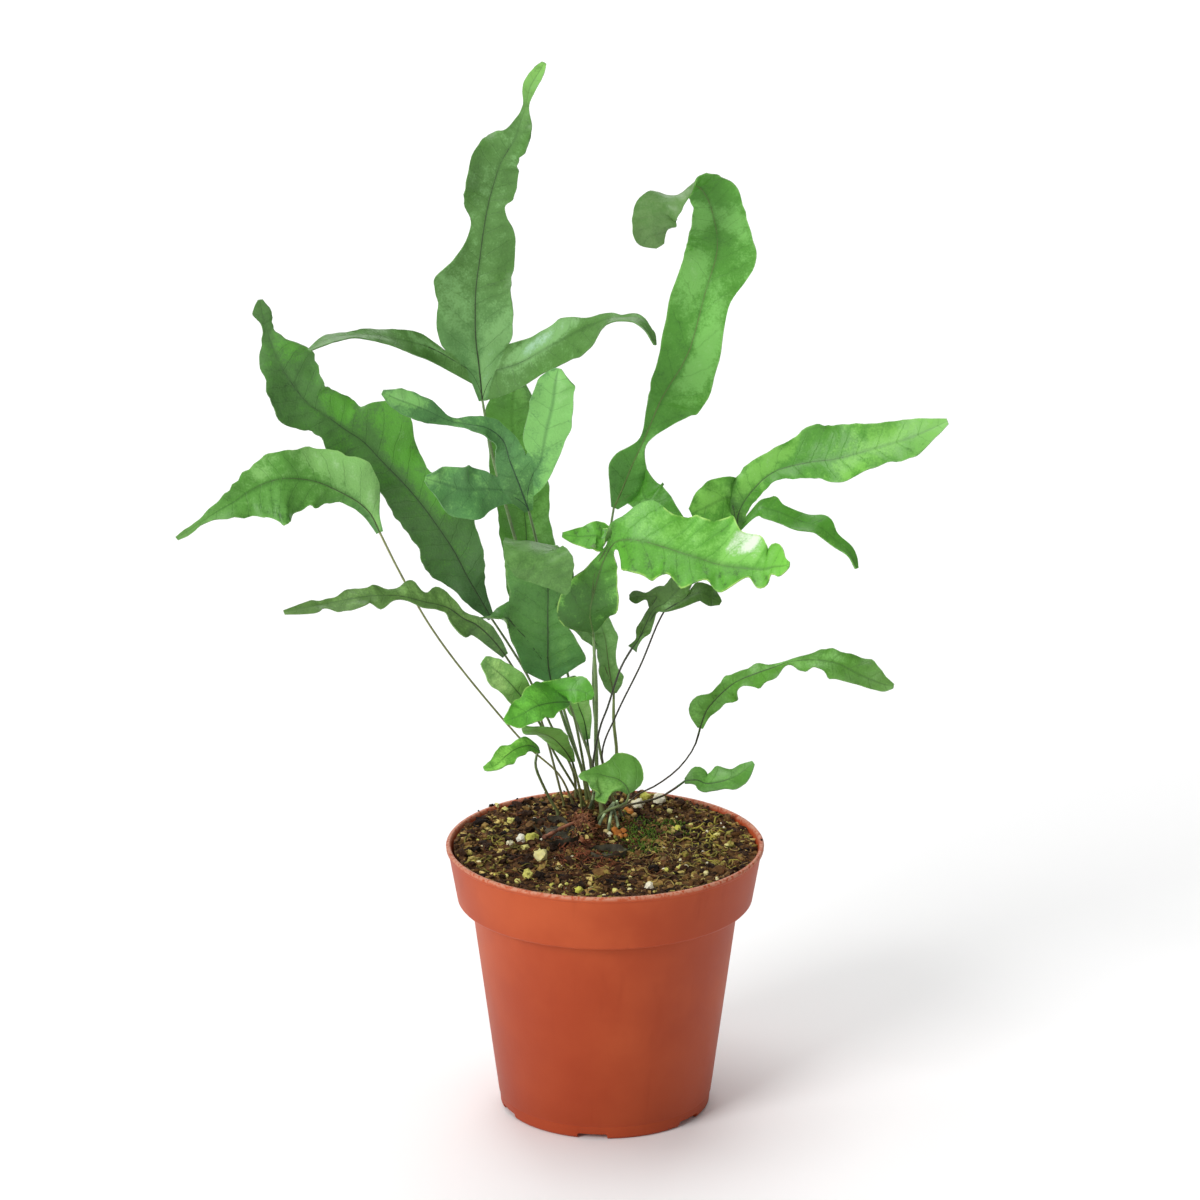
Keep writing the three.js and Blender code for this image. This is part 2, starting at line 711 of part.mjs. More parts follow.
        rows: [[31, 6, 177, 3.5, 3], [35, 5, 175.5, 3, 3], [38, 4, 174, 0.8, 0.8]],
        face: [[0, -0.8, 0.5]],
      },
      {
        side: -1,
        span: [0.5, 0.7],
        rows: [[14, 12, 174, 1.2, 1.2], [10, 11, 174, 2.2, 2.2], [8, 11, 174, 0.8, 0.8]],
        face: [[0, -1, 0.2]],
      },
    ],
  },
  {
    name: 'frond_right',
    colour: midGreen,
    root: [3, 33],
    stipe: [[-1, 33, 111], [4, 30, 127], [12, 25, 146], [19, 20, 165], [28, 14, 180], [38, 9, 190]],
    blade: {
      rows: [
        [43, 6, 198, 1.2, 1.2], [44, 6, 205, 3, 2.5], [48, 5, 212, 7, 3], [55, 3, 219, 6, 3],
        [66, 0, 223, 10.5, 5.3], [75, -3, 225, 11.5, 8], [86, -6, 229, 8.5, 6.3], [99, -9, 234, 6.3, 6],
        [110, -12, 240, 1, 1],
      ],
      face: [[0, -1, 0.2], [0, -1, 0.3], [0, -0.9, 0.5], [0, -0.9, 0.5]],
      waves: 5,
      phase: 2,
    },
    lobes: [
      {
        side: -1,
        span: [0.08, 0.25],
        rows: [[39, 2, 210.5, 7, 7], [33.5, -1, 208.5, 6.5, 6.5], [28, -3, 206.5, 2, 2]],
        face: [[0, -1, 0.3]],
      },
      {
        side: 1,
        span: [0.02, 0.12],
        rows: [
          [50, 5, 206, 3.5, 3.8], [53.5, 4, 206, 6, 5], [57.5, 3, 205, 3.2, 4.2],
          [64, 2, 202.5, 3.6, 4.6], [70, 0, 201, 4.8, 3.3], [74.5, -1, 197.5, 2.6, 2.6],
          [79.5, -3, 193.5, 2.6, 2.2], [82, -5, 188.5, 0.8, 0.8],
        ],
        face: [[0, -0.8, 0.5], [0, -0.6, 0.8], [0, -0.6, 0.8], [0.7, -0.5, 0.6]],
      },
    ],
  },
  {
    name: 'frond_trailing',
    colour: midGreen,
    root: [4.5, 25.5],
    stipe: [[6, 27.5, 94], [11, 30, 98], [18, 31, 101.5], [25, 29, 108], [30, 27, 116]],
    blade: {
      rows: [
        [32, 24, 124, 1, 1], [34, 22.5, 130.5, 6.5, 2.2], [37.5, 20, 136, 2.4, 3.6],
        [41.5, 18, 140.5, 3.8, 4.8], [45, 16, 143.5, 2.4, 2.4], [50.5, 14, 146.5, 3.2, 5],
        [55.5, 12, 149, 1.2, 4.2], [60.5, 10, 151.5, 0.8, 0.8], [66, 8, 153, 1.6, 4.6],
        [71, 6, 153.5, 4.2, 3.4], [77, 4, 153, 4.2, 6], [84, 1, 150, 7, 4], [91, -2, 148, 3.5, 3],
        [95, -3, 147.5, 0.8, 0.8],
      ],
      face: [[0.1, -1, 0.2], [0, -0.8, 0.6], [0, -0.7, 0.7], [0, -0.7, 0.7]],
      waves: 7,
      lift: 0.8,
    },
  },
  {
    name: 'frond_rim',
    colour: paleGreen,
    root: [1, 23],
    stipe: [[2.5, 21.5, 94.5], [7, 20.5, 97.5], [13, 21.5, 98.5], [20, 24, 100]],
    blade: {
      rows: [
        [27, 27, 104, 1, 1], [31, 26.5, 104.5, 4.5, 2], [34, 26, 103.5, 3.2, 3.2],
        [38, 25.5, 104, 5.5, 3.2], [43, 24.5, 106, 3.6, 4.6], [47, 23.5, 109, 2.4, 4],
        [50, 23, 112, 0.8, 0.8],
      ],
      columns: 2,
      face: [[0, -0.7, 0.7]],
      waves: 2,
      lift: 0.8,
    },
  },
  {
    name: 'frond_broad_low',
    colour: midGreen,
    root: [-2, 25],
    stipe: [[-1, 22, 94], [2.5, 16.5, 98], [7, 10.5, 102]],
    blade: {
      rows: [
        [8, 9, 106, 1, 1.2], [7.2, 9.5, 108, 3, 7.5], [5.5, 10.5, 109.5, 7, 9],
        [3.5, 11, 110.5, 10.5, 9], [0.5, 11.5, 111, 10.5, 6.5], [-2.5, 11.5, 112, 9, 2.8],
        [-5, 11, 112, 7, 2], [-7, 10.5, 112, 4.5, 1.2], [-8.5, 10, 111, 0.8, 0.8],
      ],
      face: [[0, -0.7, 0.7]],
      waves: 1.5,
      lift: 0.8,
    },
  },
];

// The pot, with its stepped collar and a flat foot cut by channels that lead the drain holes out
function pot() {
  const collarBottom = potHeight - collarHeight;
  const innerStep = collarBottom + wall;
  const profile = [
    [0, 0], [footRadius - 0.6, 0], [footRadius, 0.8], [footRadius + 0.3, footStepHeight - 0.4],
    [footRadius + 0.6, footStepHeight], [bodyTopRadius, collarBottom],
    [collarBottomRadius - 0.5, collarBottom], [collarBottomRadius, collarBottom + 0.7],
    [rimRadius - 0.8, potHeight - 2.1], [rimRadius - 0.1, potHeight - 1.5], [rimRadius, potHeight - 0.5],
    [rimRadius - 0.4, potHeight], [rimRadius - 1.2, potHeight], [rimRadius - 1.6, potHeight - 0.5],
    [rimRadius - 2.1, potHeight - 3], [collarBottomRadius - wall, innerStep],
    [bodyTopRadius - wall + 0.2, innerStep], [footRadius - wall + 0.4, floorTop], [0, floorTop],
  ];
  let solid = solidFromGeometry(turned(profile, potSides));
  for (let k = 0; k < notchCount; k += 1) {
    const angle = THREE.MathUtils.degToRad(notchFirstAngle + (k * 360) / notchCount - 90);
    const notchLength = footRadius + 2 - notchInnerRadius;
    const notch = new THREE.BoxGeometry(notchLength, notchWidth, 2 * notchHeight);
    notch.translate(notchInnerRadius + notchLength / 2, 0, 0);
    notch.rotateZ(angle);
    const drain = new THREE.CylinderGeometry(drainRadius, drainRadius, 2 * floorTop, 12);
    drain.rotateX(Math.PI / 2);
    drain.translate(drainCircle * Math.cos(angle), drainCircle * Math.sin(angle), floorTop);
    solid = solid.subtract(solidFromGeometry(notch));
    solid = solid.subtract(solidFromGeometry(drain));
  }
  return solid;
}

// The soil's surface: crumbly, mounded at the crown, with a dark hollow before it and a flat chip
function soilHeight(x, y) {
  const bump = (place, reach) => Math.exp(-((x - place.x) ** 2 + (y - place.y) ** 2) / reach ** 2);
  const crumbs = Math.sin(x * 0.61 + 1) * Math.cos(y * 0.53) + 0.6 * Math.sin(x * 1.13 - y * 0.97 + 2);
  return soilLevel + 0.5 * crumbs + crown.height * bump(crown, crown.radius)
    - hollow.depth * bump(hollow, hollow.radius) + slab.height * bump(slab, slab.radius);
}

function soil(holes) {
  const innerStep = potHeight - collarHeight + wall + gap;
  const edgeRadius = rimRadius - 2.1 - 1.2;
  const profile = [
    [0, floorTop + gap], [footRadius - wall - 0.1, floorTop + gap], [bodyTopRadius - wall - 0.2, innerStep],
    [collarBottomRadius - wall - gap, innerStep], [edgeRadius, soilLevel - soilEdgeDrop],
  ];
  for (let k = 1; k <= soilRings; k += 1) {
    profile.push([(edgeRadius - 0.2) * (1 - k / soilRings), soilLevel]);
  }
  const geometry = turned(profile, potSides);
  const place = geometry.attributes.position;
  for (let k = 0; k < place.count; k += 1) {
    const depth = soilLevel - place.getZ(k);
    if (depth < soilEdgeDrop + 0.1) {
      place.setZ(k, soilHeight(place.getX(k), place.getY(k)) - depth);
    }
  }
  return holes.reduce((solid, hole) => solid.subtract(hole), solidFromGeometry(geometry));
}

// The rhizome creeps over the soil, half sunk in a groove of its own form
function rhizomeSolid(extra, sides) {
  const rows = [[-8, 29 + extra, 90], [-7.5, 21, 90.5], [-7, 13, 90], [-7.5, 5 - extra, 89]];
  const steps = 16;
  const points = Array.from({ length: steps + 1 }, (_, k) => pointAlong(rows, k / steps));
  return tube(points, sides, (f, angle) => {
    const round = Math.sqrt(Math.max(1 - Math.abs(2 * f - 1) ** 4, 0.02));
    const scales = 1 + 0.1 * Math.sin(f * 40) * Math.cos(3 * angle + f * 20);
    return rhizomeRadius * round * (extra > 0 ? 1.1 : scales) + extra;
  });
}

const fern = new THREE.Group();
const stipeHoles = fronds.map(stipeHole);
fern.add(meshFrom(pot(), 'pot', finish(0xb4552f, 0.55)));
fern.add(meshFrom(soil([...stipeHoles, rhizomeSolid(gap, 10)]), 'soil', finish(0x4a3526, 1)));
fern.add(meshFrom(rhizomeSolid(0, 10), 'rhizome', finish(0x8a4a30, 0.95)));
fronds.forEach((frond) => {
  fern.add(meshFrom(frondSolid(frond), frond.name, finish(frond.colour, 0.5)));
});

export default fern;
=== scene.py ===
import math
import random

import bpy
import bmesh
import numpy as np
from mathutils import Matrix, Vector, noise


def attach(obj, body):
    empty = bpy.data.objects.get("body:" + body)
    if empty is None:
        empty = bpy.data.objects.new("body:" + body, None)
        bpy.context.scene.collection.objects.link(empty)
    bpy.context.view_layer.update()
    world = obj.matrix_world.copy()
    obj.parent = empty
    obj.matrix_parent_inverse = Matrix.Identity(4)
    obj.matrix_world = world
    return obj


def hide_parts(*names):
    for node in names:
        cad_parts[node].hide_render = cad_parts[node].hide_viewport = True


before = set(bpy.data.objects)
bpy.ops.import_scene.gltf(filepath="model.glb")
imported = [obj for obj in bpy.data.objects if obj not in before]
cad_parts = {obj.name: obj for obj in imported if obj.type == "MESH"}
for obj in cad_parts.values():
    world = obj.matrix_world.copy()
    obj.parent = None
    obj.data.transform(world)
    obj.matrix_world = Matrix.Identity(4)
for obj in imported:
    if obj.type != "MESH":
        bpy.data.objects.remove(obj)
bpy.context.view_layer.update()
mm = 0.001
print("frame loaded")


# selecting and tidying, as by hand
def letGo():
    if bpy.context.object and bpy.context.object.mode != "OBJECT":
        bpy.ops.object.mode_set(mode="OBJECT")
    bpy.ops.object.select_all(action="DESELECT")


def pickUp(piece, *others):
    letGo()
    for each in (piece, *others):
        each.select_set(True)
    bpy.context.view_layer.objects.active = piece
    return piece


def nameIt(name):
    bpy.context.object.name = name
    return bpy.context.object


def openUp(selection="SELECT"):
    bpy.ops.object.mode_set(mode="EDIT")
    bpy.ops.mesh.select_all(action=selection)


def closeUp():
    bpy.ops.object.mode_set(mode="OBJECT")


def weldUp(piece, gap=0.00001, outward=True):
    # merge what touches, then turn the faces outwards
    pickUp(piece)
    openUp()
    bpy.ops.mesh.remove_doubles(threshold=gap)
    if outward:
        bpy.ops.mesh.normals_make_consistent(inside=False)
    closeUp()


def applyModifier(piece, kind, settings):
    pickUp(piece)
    modifier = piece.modifiers.new(kind.title(), kind)
    for key, value in settings.items():
        setattr(modifier, key, value)
    bpy.ops.object.modifier_apply(modifier=modifier.name)


def handOver(piece, material, standsFor=None):
    # the last steps for every piece
    piece.data.materials.clear()
    piece.data.materials.append(material)
    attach(piece, "root")
    if standsFor:
        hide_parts(standsFor)


def smoothOff(piece, degrees=40):
    pickUp(piece)
    bpy.ops.object.shade_smooth_by_angle(angle=math.radians(degrees))


# materials: sums of sockets written as sums
class Wire:
    def __init__(self, board, node, output):
        self.board, self.node, self.socket = board, node, node.outputs[output]

    def __getitem__(self, output):
        return Wire(self.board, self.node, output)

    def sum(self, operation, first, second=0.0):
        return self.board.add("ShaderNodeMath", {"operation": operation}, {0: first, 1: second})

    def __add__(self, other):
        return self.sum("ADD", self, other)

    def __radd__(self, other):
        return self.sum("ADD", other, self)

    def __sub__(self, other):
        return self.sum("SUBTRACT", self, other)

    def __rsub__(self, other):
        return self.sum("SUBTRACT", other, self)

    def __mul__(self, other):
        return self.sum("MULTIPLY", self, other)

    def __abs__(self):
        return self.sum("ABSOLUTE", self)


class Board:
    # one material's nodes
    def __init__(self, name, fixed):
        self.material = bpy.data.materials.new(name)
        self.material.use_nodes = True
        self.tree = self.material.node_tree
        self.shader = self.tree.nodes["Principled BSDF"]
        for key, value in fixed.items():
            self.shader.inputs[key].default_value = value

    def add(self, kind, settings=None, inputs=None, output=0):
        node = self.tree.nodes.new(kind)
        for key, value in (settings or {}).items():
            if key == "stops":
                ramp = node.color_ramp
                while len(ramp.elements) < len(value):
                    ramp.elements.new(0.5)
                for element, (place, colour) in zip(ramp.elements, value):
                    element.position, element.color = place, tint(colour)
            else:
                setattr(node, key, value)
        for key, value in (inputs or {}).items():
            self.feed(node.inputs[key], value)
        return Wire(self, node, output)

    def feed(self, socket, value):
        if isinstance(value, Wire):
            self.tree.links.new(value.socket, socket)
        else:
            socket.default_value = value

    def place(self):
        return self.add("ShaderNodeTexCoord", output="Object")

    def cloud(self, where, scale, detail=3.0, rough=0.55):
        return self.add("ShaderNodeTexNoise", None,
                        {"Vector": where, "Scale": scale, "Detail": detail, "Roughness": rough})

    def ease(self, value, low, high):
        return self.add("ShaderNodeMapRange", {"interpolation_type": "SMOOTHSTEP"},
                        {"Value": value, "From Min": low, "From Max": high})

    def blend(self, amount, first, second):
        return self.add("ShaderNodeMix", {"data_type": "RGBA"},
                        {0: amount, 6: tint(first), 7: tint(second)}, 2)

    def ramp(self, value, stops):
        return self.add("ShaderNodeValToRGB", {"stops": stops}, {"Fac": value})

    def finish(self, colour, roughness, relief=None):
        # relief is a bump's height, strength and distance
        self.feed(self.shader.inputs["Base Color"], colour)
        self.feed(self.shader.inputs["Roughness"], roughness)
        if relief:
            bump = self.add("ShaderNodeBump", None, dict(zip(("Height", "Strength", "Distance"), relief)))
            self.feed(self.shader.inputs["Normal"], bump)
        return self.material


def tint(colour):
    # a screen colour from 0 to 255, as the shader wants it; a wire stays a wire
    if isinstance(colour, Wire):
        return colour
    return (*[(c / 12.92 if c <= 0.04045 else ((c + 0.055) / 1.055) ** 2.4)
              for c in (part / 255 for part in colour)], 1.0)


# camera, light and floor
studio = {
    "aim": (-1.67, 0, 176.3), "distance": 1500, "lookDown": 17, "lens": 137.25, "sensor": 36,
    "lights": [
        # name, place, what it is turned to, size in metres, power
        ("keyLight", (-3.2, -3.3, 2.6), (0, 0, 0.16), 2.2, 185),
        ("topLight", (-0.8, 0.4, 4.2), (0, 0, 0.16), 2.4, 62),
        ("farLight", (0, 3.4, 2.6), (0, 2.2, 0), 3.0, 66),
    ],
    "sky": 0.33,
    "floor": (250, 250, 250), "floorSize": 20, "floorDrop": 0.0002,
}


def setStudio(look):
    bpy.context.scene.view_settings.view_transform = "Standard"
    down = math.radians(look["lookDown"])
    aim = Vector(look["aim"])
    spot = (aim + Vector((0, -math.cos(down), math.sin(down))) * look["distance"]) * mm
    bpy.ops.object.camera_add(location=spot, rotation=(math.radians(90) - down, 0, 0))
    camera = bpy.context.object
    camera.data.sensor_fit = "HORIZONTAL"
    camera.data.sensor_width = look["sensor"]
    camera.data.lens = look["lens"]
    camera.data.clip_start = 0.05
    bpy.context.scene.camera = camera

    for name, place, target, size, power in look["lights"]:
        toward = Vector(target) - Vector(place)
        bpy.ops.object.light_add(type="AREA", location=place,
                                 rotation=toward.to_track_quat("-Z", "Y").to_euler())
        light = nameIt(name)
        light.data.size = size
        light.data.energy = power

    world = bpy.data.worlds.new("studioSky")
    bpy.context.scene.world = world
    world.use_nodes = True
    sky = world.node_tree.nodes["Background"]
    sky.inputs["Color"].default_value = (1, 1, 1, 1)
    sky.inputs["Strength"].default_value = look["sky"]

    bpy.ops.mesh.primitive_plane_add(size=look["floorSize"], location=(0, 0, -look["floorDrop"]))
    floor = nameIt("floor")
    board = Board("floorPaint", {"Base Color": tint(look["floor"]), "Roughness": 0.8})
    floor.data.materials.append(board.material)


letGo()
setStudio(studio)
print("studio set")


# pot: a turned shell with a flat foot and six channels under it
pot = {
    "sides": 144,
    "profile": [  # radius and height in mm, from the foot round over the rim and down inside
        (35.3, 0.8), (35.6, 4.4), (35.9, 4.8), (44.7, 72.4), (48.7, 72.5), (49.3, 73.2),
        (52.2, 89.9), (52.9, 90.5), (53.0, 91.5), (52.6, 92.0), (51.8, 92.0), (51.4, 91.5),
        (50.9, 89.0), (48.0, 73.8), (43.6, 73.8), (34.4, 3.0),
    ],
    "footRadius": 34.7,
    "channels": 6, "firstChannel": -97, "channelWidth": 10, "channelHeight": 1.7, "channelStart": 19,
    "channelPast": 4, "channelRound": 0.6,
    "drainRadius": 4, "drainCircle": 25, "drainMiddle": 2, "drainCut": 6,
    "edge": 0.25,
    "clay": (168, 68, 35), "clayLight": (186, 84, 46), "clayDark": (140, 50, 25), "dust": (208, 156, 130),
}


def makePlastic(look):
    board = Board("pottedPlastic", {"Specular IOR Level": 0.16})
    where = board.place()
    height = board.add("ShaderNodeSeparateXYZ", None, {0: where})["Z"]
    drift = board.cloud(where, 22, 4)
    grain = board.cloud(where, 900, 2)
    stretched = board.add("ShaderNodeMapping", None, {"Vector": where, "Scale": (1, 1, 0.08)})
    streaks = board.cloud(stretched, 160, 3)
    colour = board.blend(board.ease(drift, 0.35, 0.7), look["clay"], look["clayLight"])
    # painted shade: the body gets darker towards the foot
    colour = board.blend(board.ease(height, 0.07, 0.0) * 0.4, colour, look["clayDark"])
    colour = board.blend(board.ease(streaks, 0.58, 0.75) * 0.22, colour, look["clayDark"])
    # a pale line along the top of the rim: partly dust, partly a painted highlight
    rimDustAndHighlight = board.ease(height, 0.0905, 0.0918) * board.ease(grain, 0.3, 0.6)
    colour = board.blend(rimDustAndHighlight * 0.7, colour, look["dust"])
    relief = grain * 0.5 + streaks * 0.5
    return board.finish(colour, 0.4 + drift * 0.12 + streaks * 0.06, (relief, 0.12, 0.0004))


def turnPot(size):
    # a disc for the foot, whose top is drawn up and over along the profile
    radius, height = size["footRadius"], size["profile"][0][1]
    bpy.ops.mesh.primitive_cylinder_add(vertices=size["sides"], radius=radius * mm, depth=height * mm,
                                        location=(0, 0, height * mm / 2), end_fill_type="NGON")
    shell = nameIt("pottedShell")
    bpy.ops.object.transform_apply(location=True)
    openUp("DESELECT")
    work = bmesh.from_edit_mesh(shell.data)
    for face in work.faces:
        face.select = face.normal.z > 0.9
    bmesh.update_edit_mesh(shell.data)
    for step, (nextRadius, nextHeight) in enumerate(size["profile"]):
        if step:
            bpy.ops.mesh.extrude_region_move(
                TRANSFORM_OT_translate={"value": (0, 0, (nextHeight - height) * mm)})
        grow = nextRadius / radius
        bpy.ops.transform.resize(value=(grow, grow, 1), center_override=(0, 0, nextHeight * mm))
        radius, height = nextRadius, nextHeight
    closeUp()

    cutters = []
    for k in range(size["channels"]):
        angle = math.radians(size["firstChannel"] + 360 / size["channels"] * k)
        length = size["footRadius"] + size["channelPast"] - size["channelStart"]
        middle = size["channelStart"] + length / 2
        spot = (middle * math.cos(angle) * mm, middle * math.sin(angle) * mm, 0)
        bpy.ops.mesh.primitive_cube_add(size=1, location=spot, rotation=(0, 0, angle),
                                        scale=(length * mm, size["channelWidth"] * mm,
                                               2 * size["channelHeight"] * mm))
        channel = bpy.context.object
        bpy.ops.object.transform_apply(location=True, rotation=True, scale=True)
        applyModifier(channel, "BEVEL", {"width": size["channelRound"] * mm, "segments": 2})
        cutters.append(channel)
        spot = (size["drainCircle"] * math.cos(angle) * mm, size["drainCircle"] * math.sin(angle) * mm,
                size["drainMiddle"] * mm)
        bpy.ops.mesh.primitive_cylinder_add(vertices=32, radius=size["drainRadius"] * mm,
                                            depth=size["drainCut"] * mm, location=spot)
        drain = bpy.context.object
        bpy.ops.object.transform_apply(location=True)
        cutters.append(drain)
    for cutter in cutters:
        applyModifier(shell, "BOOLEAN", {"operation": "DIFFERENCE", "object": cutter, "solver": "EXACT"})
    for cutter in cutters:
        bpy.data.objects.remove(cutter)
    applyModifier(shell, "BEVEL", {"width": size["edge"] * mm, "segments": 2, "limit_method": "ANGLE",
                                   "angle_limit": math.radians(30)})
    weldUp(shell)
    smoothOff(shell, 30)
    return shell


handOver(turnPot(pot), makePlastic(pot), "pot")
print("pot turned")


# soil: a crumbly top with a crown, a hollow and a low rise under the slate flake
soil = {
    "level": 89.3, "edge": 50.4, "bank": 1.7, "cells": 150,
    "crown": (0, 42, 24, 1.4), "hollow": (4, 4, 8, -2.2), "slab": (-19, 22, 9, 1.4),
    "lumps": 0.8,
    # the rings below the top: radius, how far down, and the height that it is flattened at, where it is
    "wall": [(47.4, 15, 74.4), (43.1, 0, 0), (34.0, 71.0, 3.4)],
    "deep": (36, 22, 12), "brown": (94, 64, 36), "tan": (146, 114, 64), "olive": (108, 100, 40),
    "grit": (176, 146, 98), "pits": (24, 16, 12),
}


def soilHeight(x, y):
    crumbs = math.sin(0.61 * x + 1) * math.cos(0.53 * y) + 0.6 * math.sin(1.13 * x - 0.97 * y + 2)
    height = soil["level"] + 0.5 * crumbs
    for key in ("crown", "hollow", "slab"):
        middleX, middleY, radius, rise = soil[key]
        height += rise * math.exp(-((x - middleX) ** 2 + (y - middleY) ** 2) / radius ** 2)
    return height


def soilTop(x, y):
    # what only the looks have: small lumps, and a low bank against the wall at the back and left
    out = min(max((math.hypot(x, y) / soil["edge"] - 0.72) / 0.26, 0), 1)
    behind = min(max(0.55 + (0.9 * y - 0.5 * x) / soil["edge"], 0.1), 1)
    lumps = noise.fractal(Vector((x * 0.4, y * 0.4, 3)), 1.0, 2.0, 4)
    return soilHeight(x, y) + soil["lumps"] * lumps + soil["bank"] * behind * out * out * (3 - 2 * out)


def makeSoil(look):
    board = Board("crumblySoil", {"Specular IOR Level": 0.2})
    where = board.place()
    broad = board.cloud(where, 90, 4)
    small = board.cloud(where, 420, 5, 0.7)
    grains = board.add("ShaderNodeTexVoronoi", None, {"Vector": where, "Scale": 620})
    colour = board.ramp(small, [(0.30, look["deep"]), (0.52, look["brown"]),
                                (0.74, look["tan"])])
    colour = board.blend(board.ease(broad, 0.55, 0.75) * 0.35, colour, look["olive"])
    speck = board.add("ShaderNodeSeparateColor", None, {0: grains["Color"]})
    colour = board.blend(board.ease(speck["Red"], 0.93, 0.97) * 0.7, colour, look["grit"])
    colour = board.blend(board.ease(speck["Green"], 0.86, 0.95) * 0.8, colour, look["pits"])
    relief = small * 0.6 + (1 - grains["Distance"]) * 0.4
    return board.finish(colour, 0.75 + broad * 0.2, (relief, 0.9, 0.0012))


def fillSoil(size):
    bpy.ops.mesh.primitive_grid_add(x_subdivisions=size["cells"], y_subdivisions=size["cells"], size=2)
    plug = nameIt("soilPlug")
    for vertex in plug.data.vertices:
        # the square grid is drawn into a disc
        x = vertex.co.x * math.sqrt(1 - vertex.co.y ** 2 / 2) * size["edge"]
        y = vertex.co.y * math.sqrt(1 - vertex.co.x ** 2 / 2) * size["edge"]
        vertex.co = Vector((x, y, soilTop(x, y))) * mm
    openUp("DESELECT")
    bpy.ops.mesh.select_mode(type="EDGE")
    bpy.ops.mesh.select_non_manifold()
    radius = size["edge"]
    for nextRadius, drop, level in size["wall"]:
        bpy.ops.mesh.extrude_region_move(TRANSFORM_OT_translate={"value": (0, 0, -drop * mm)})
        grow = nextRadius / radius
        bpy.ops.transform.resize(value=(grow, grow, 0 if level else 1),
                                 center_override=(0, 0, level * mm))
        radius = nextRadius
    bpy.ops.mesh.edge_face_add()
    bpy.ops.mesh.select_mode(type="VERT")
    closeUp()
    weldUp(plug)
    smoothOff(plug, 60)
    return plug


handOver(fillSoil(soil), makeSoil(soil), "soil")
print("soil filled")


# fronds: each is a wavy sheet with its lobes, drawn out from a grid, with a thin stalk and ribs
# a row of the sheet is x, y, z and half its width to the left and to the right, or one for both
leaf = {
    "thickness": 0.45, "rowStep": 4.4, "fineness": 4,
    "quilt": 0.15, "veinPitch": 5.5, "crumple": 0.75,
    "ribStart": 0.38, "ribEnd": 0.2, "ribReach": 0.985, "ribSteps": 40,
    "lobeRib": 0.26, "lobeRibReach": 0.95, "lobeRibSteps": 20,
    "rootDepth": 9, "upright": 2.3, "stalkStep": 3, "soilBrown": (126, 102, 66),
}
# what a frond and a lobe have where they say nothing else
plain = {"columns": 4, "face": [(0, -1, 0.3)], "waves": 5, "lift": 1.2, "phase": 0, "scallop": 0.05,
         "cup": 8, "frill": 0.6, "bands": 0.2, "rim": 0.35, "sheen": (176, 214, 160), "tone": 0,
         "patches": [], "lobes": []}
plainLobe = {"face": [(0, -1, 0.2)], "waves": 3, "lift": 0.7, "phase": 1, "scallop": 0.04, "cup": 6,
             "blend": 0.4, "frill": 0.5, "tone": 0, "patches": []}


def ease(low, high, value):
    t = min(max((value - low) / (high - low), 0), 1)
    return t * t * (3 - 2 * t)


def curveAt(rows, fraction):
    # a smooth line through rows of numbers
    place = min(max(fraction, 0), 1) * (len(rows) - 1)
    k = min(int(place), len(rows) - 2)
    t = place - k
    before, start, end, after = [Vector(rows[min(max(j, 0), len(rows) - 1)]) for j in range(k - 1, k + 3)]
    return (start * (2 * t ** 3 - 3 * t ** 2 + 1) + (end - before) * (t ** 3 - 2 * t ** 2 + t) / 2
            + end * (3 * t ** 2 - 2 * t ** 3) + (after - start) * (t ** 3 - t ** 2) / 2)


def straightAt(rows, fraction):
    place = min(max(fraction, 0), 1) * (len(rows) - 1)
    k = min(int(place), max(len(rows) - 2, 0))
    return Vector(rows[k]).lerp(Vector(rows[min(k + 1, len(rows) - 1)]), place - k)


def bothSides(rows):
    return [row if len(row) == 5 else (*row, row[3]) for row in rows]


def lengthOf(rows):
    return sum((Vector(b[:3]) - Vector(a[:3])).length for a, b in zip(rows, rows[1:]))


def tiltAt(strip, fraction):
    # the upper face's direction and the direction to the right-hand edge
    known = strip["tilts"].get(fraction)
    if not known:
        along = (curveAt(strip["rows"], min(fraction + 0.004, 1)).xyz
                 - curveAt(strip["rows"], max(fraction - 0.004, 0)).xyz).normalized()
        upper = straightAt(strip["face"], fraction)
        upper = (upper - along * upper.dot(along)).normalized()
        known = strip["tilts"][fraction] = (upper, along.cross(upper))
    return known


def bladePoint(strip, fraction, across):
    spine = curveAt(strip["rows"], fraction)
    half = max(spine[3] if across < 0 else spine[4], 0.6)
    upper, side = tiltAt(strip, fraction)
    edge = abs(across)
    fade = ease(0, 0.12, fraction) * ease(1, 0.9, fraction)
    turn = math.tau * strip["waves"] * fraction + strip["phase"] + (0 if across < 0 else 2.3)
    ripple = strip["lift"] * fade * min(half / 6, 1) * math.sin(turn) * edge ** 2
    reach = half * (1 + strip["scallop"] * fade * math.cos(turn) * edge)
    along = fraction * strip["length"]
    # what only the looks have: a fine frill at the margin, a soft quilt between the veins and some crumple
    here = strip["phase"] + strip["length"]
    small = noise.noise(Vector((along * 0.3, 3.7 if across < 0 else 9.1, here)))
    reach += strip["frill"] * fade * min(half / 5, 1) * small * edge ** 3
    quilt = math.sin(math.tau * (along - 0.55 * edge * half) / leaf["veinPitch"])
    crumple = noise.noise(Vector((along * 0.11, across * half * 0.16, here)))
    ripple += leaf["quilt"] * fade * quilt * 4 * edge * (1 - edge) * min(half / 6, 1)
    ripple += leaf["crumple"] * fade * crumple * edge * min(half / 5, 1) * 2
    lean = math.radians(strip["cup"])
    return (spine.xyz + side * (across * reach * math.cos(lean))
            + upper * (edge * reach * math.sin(lean) + ripple)), across * reach


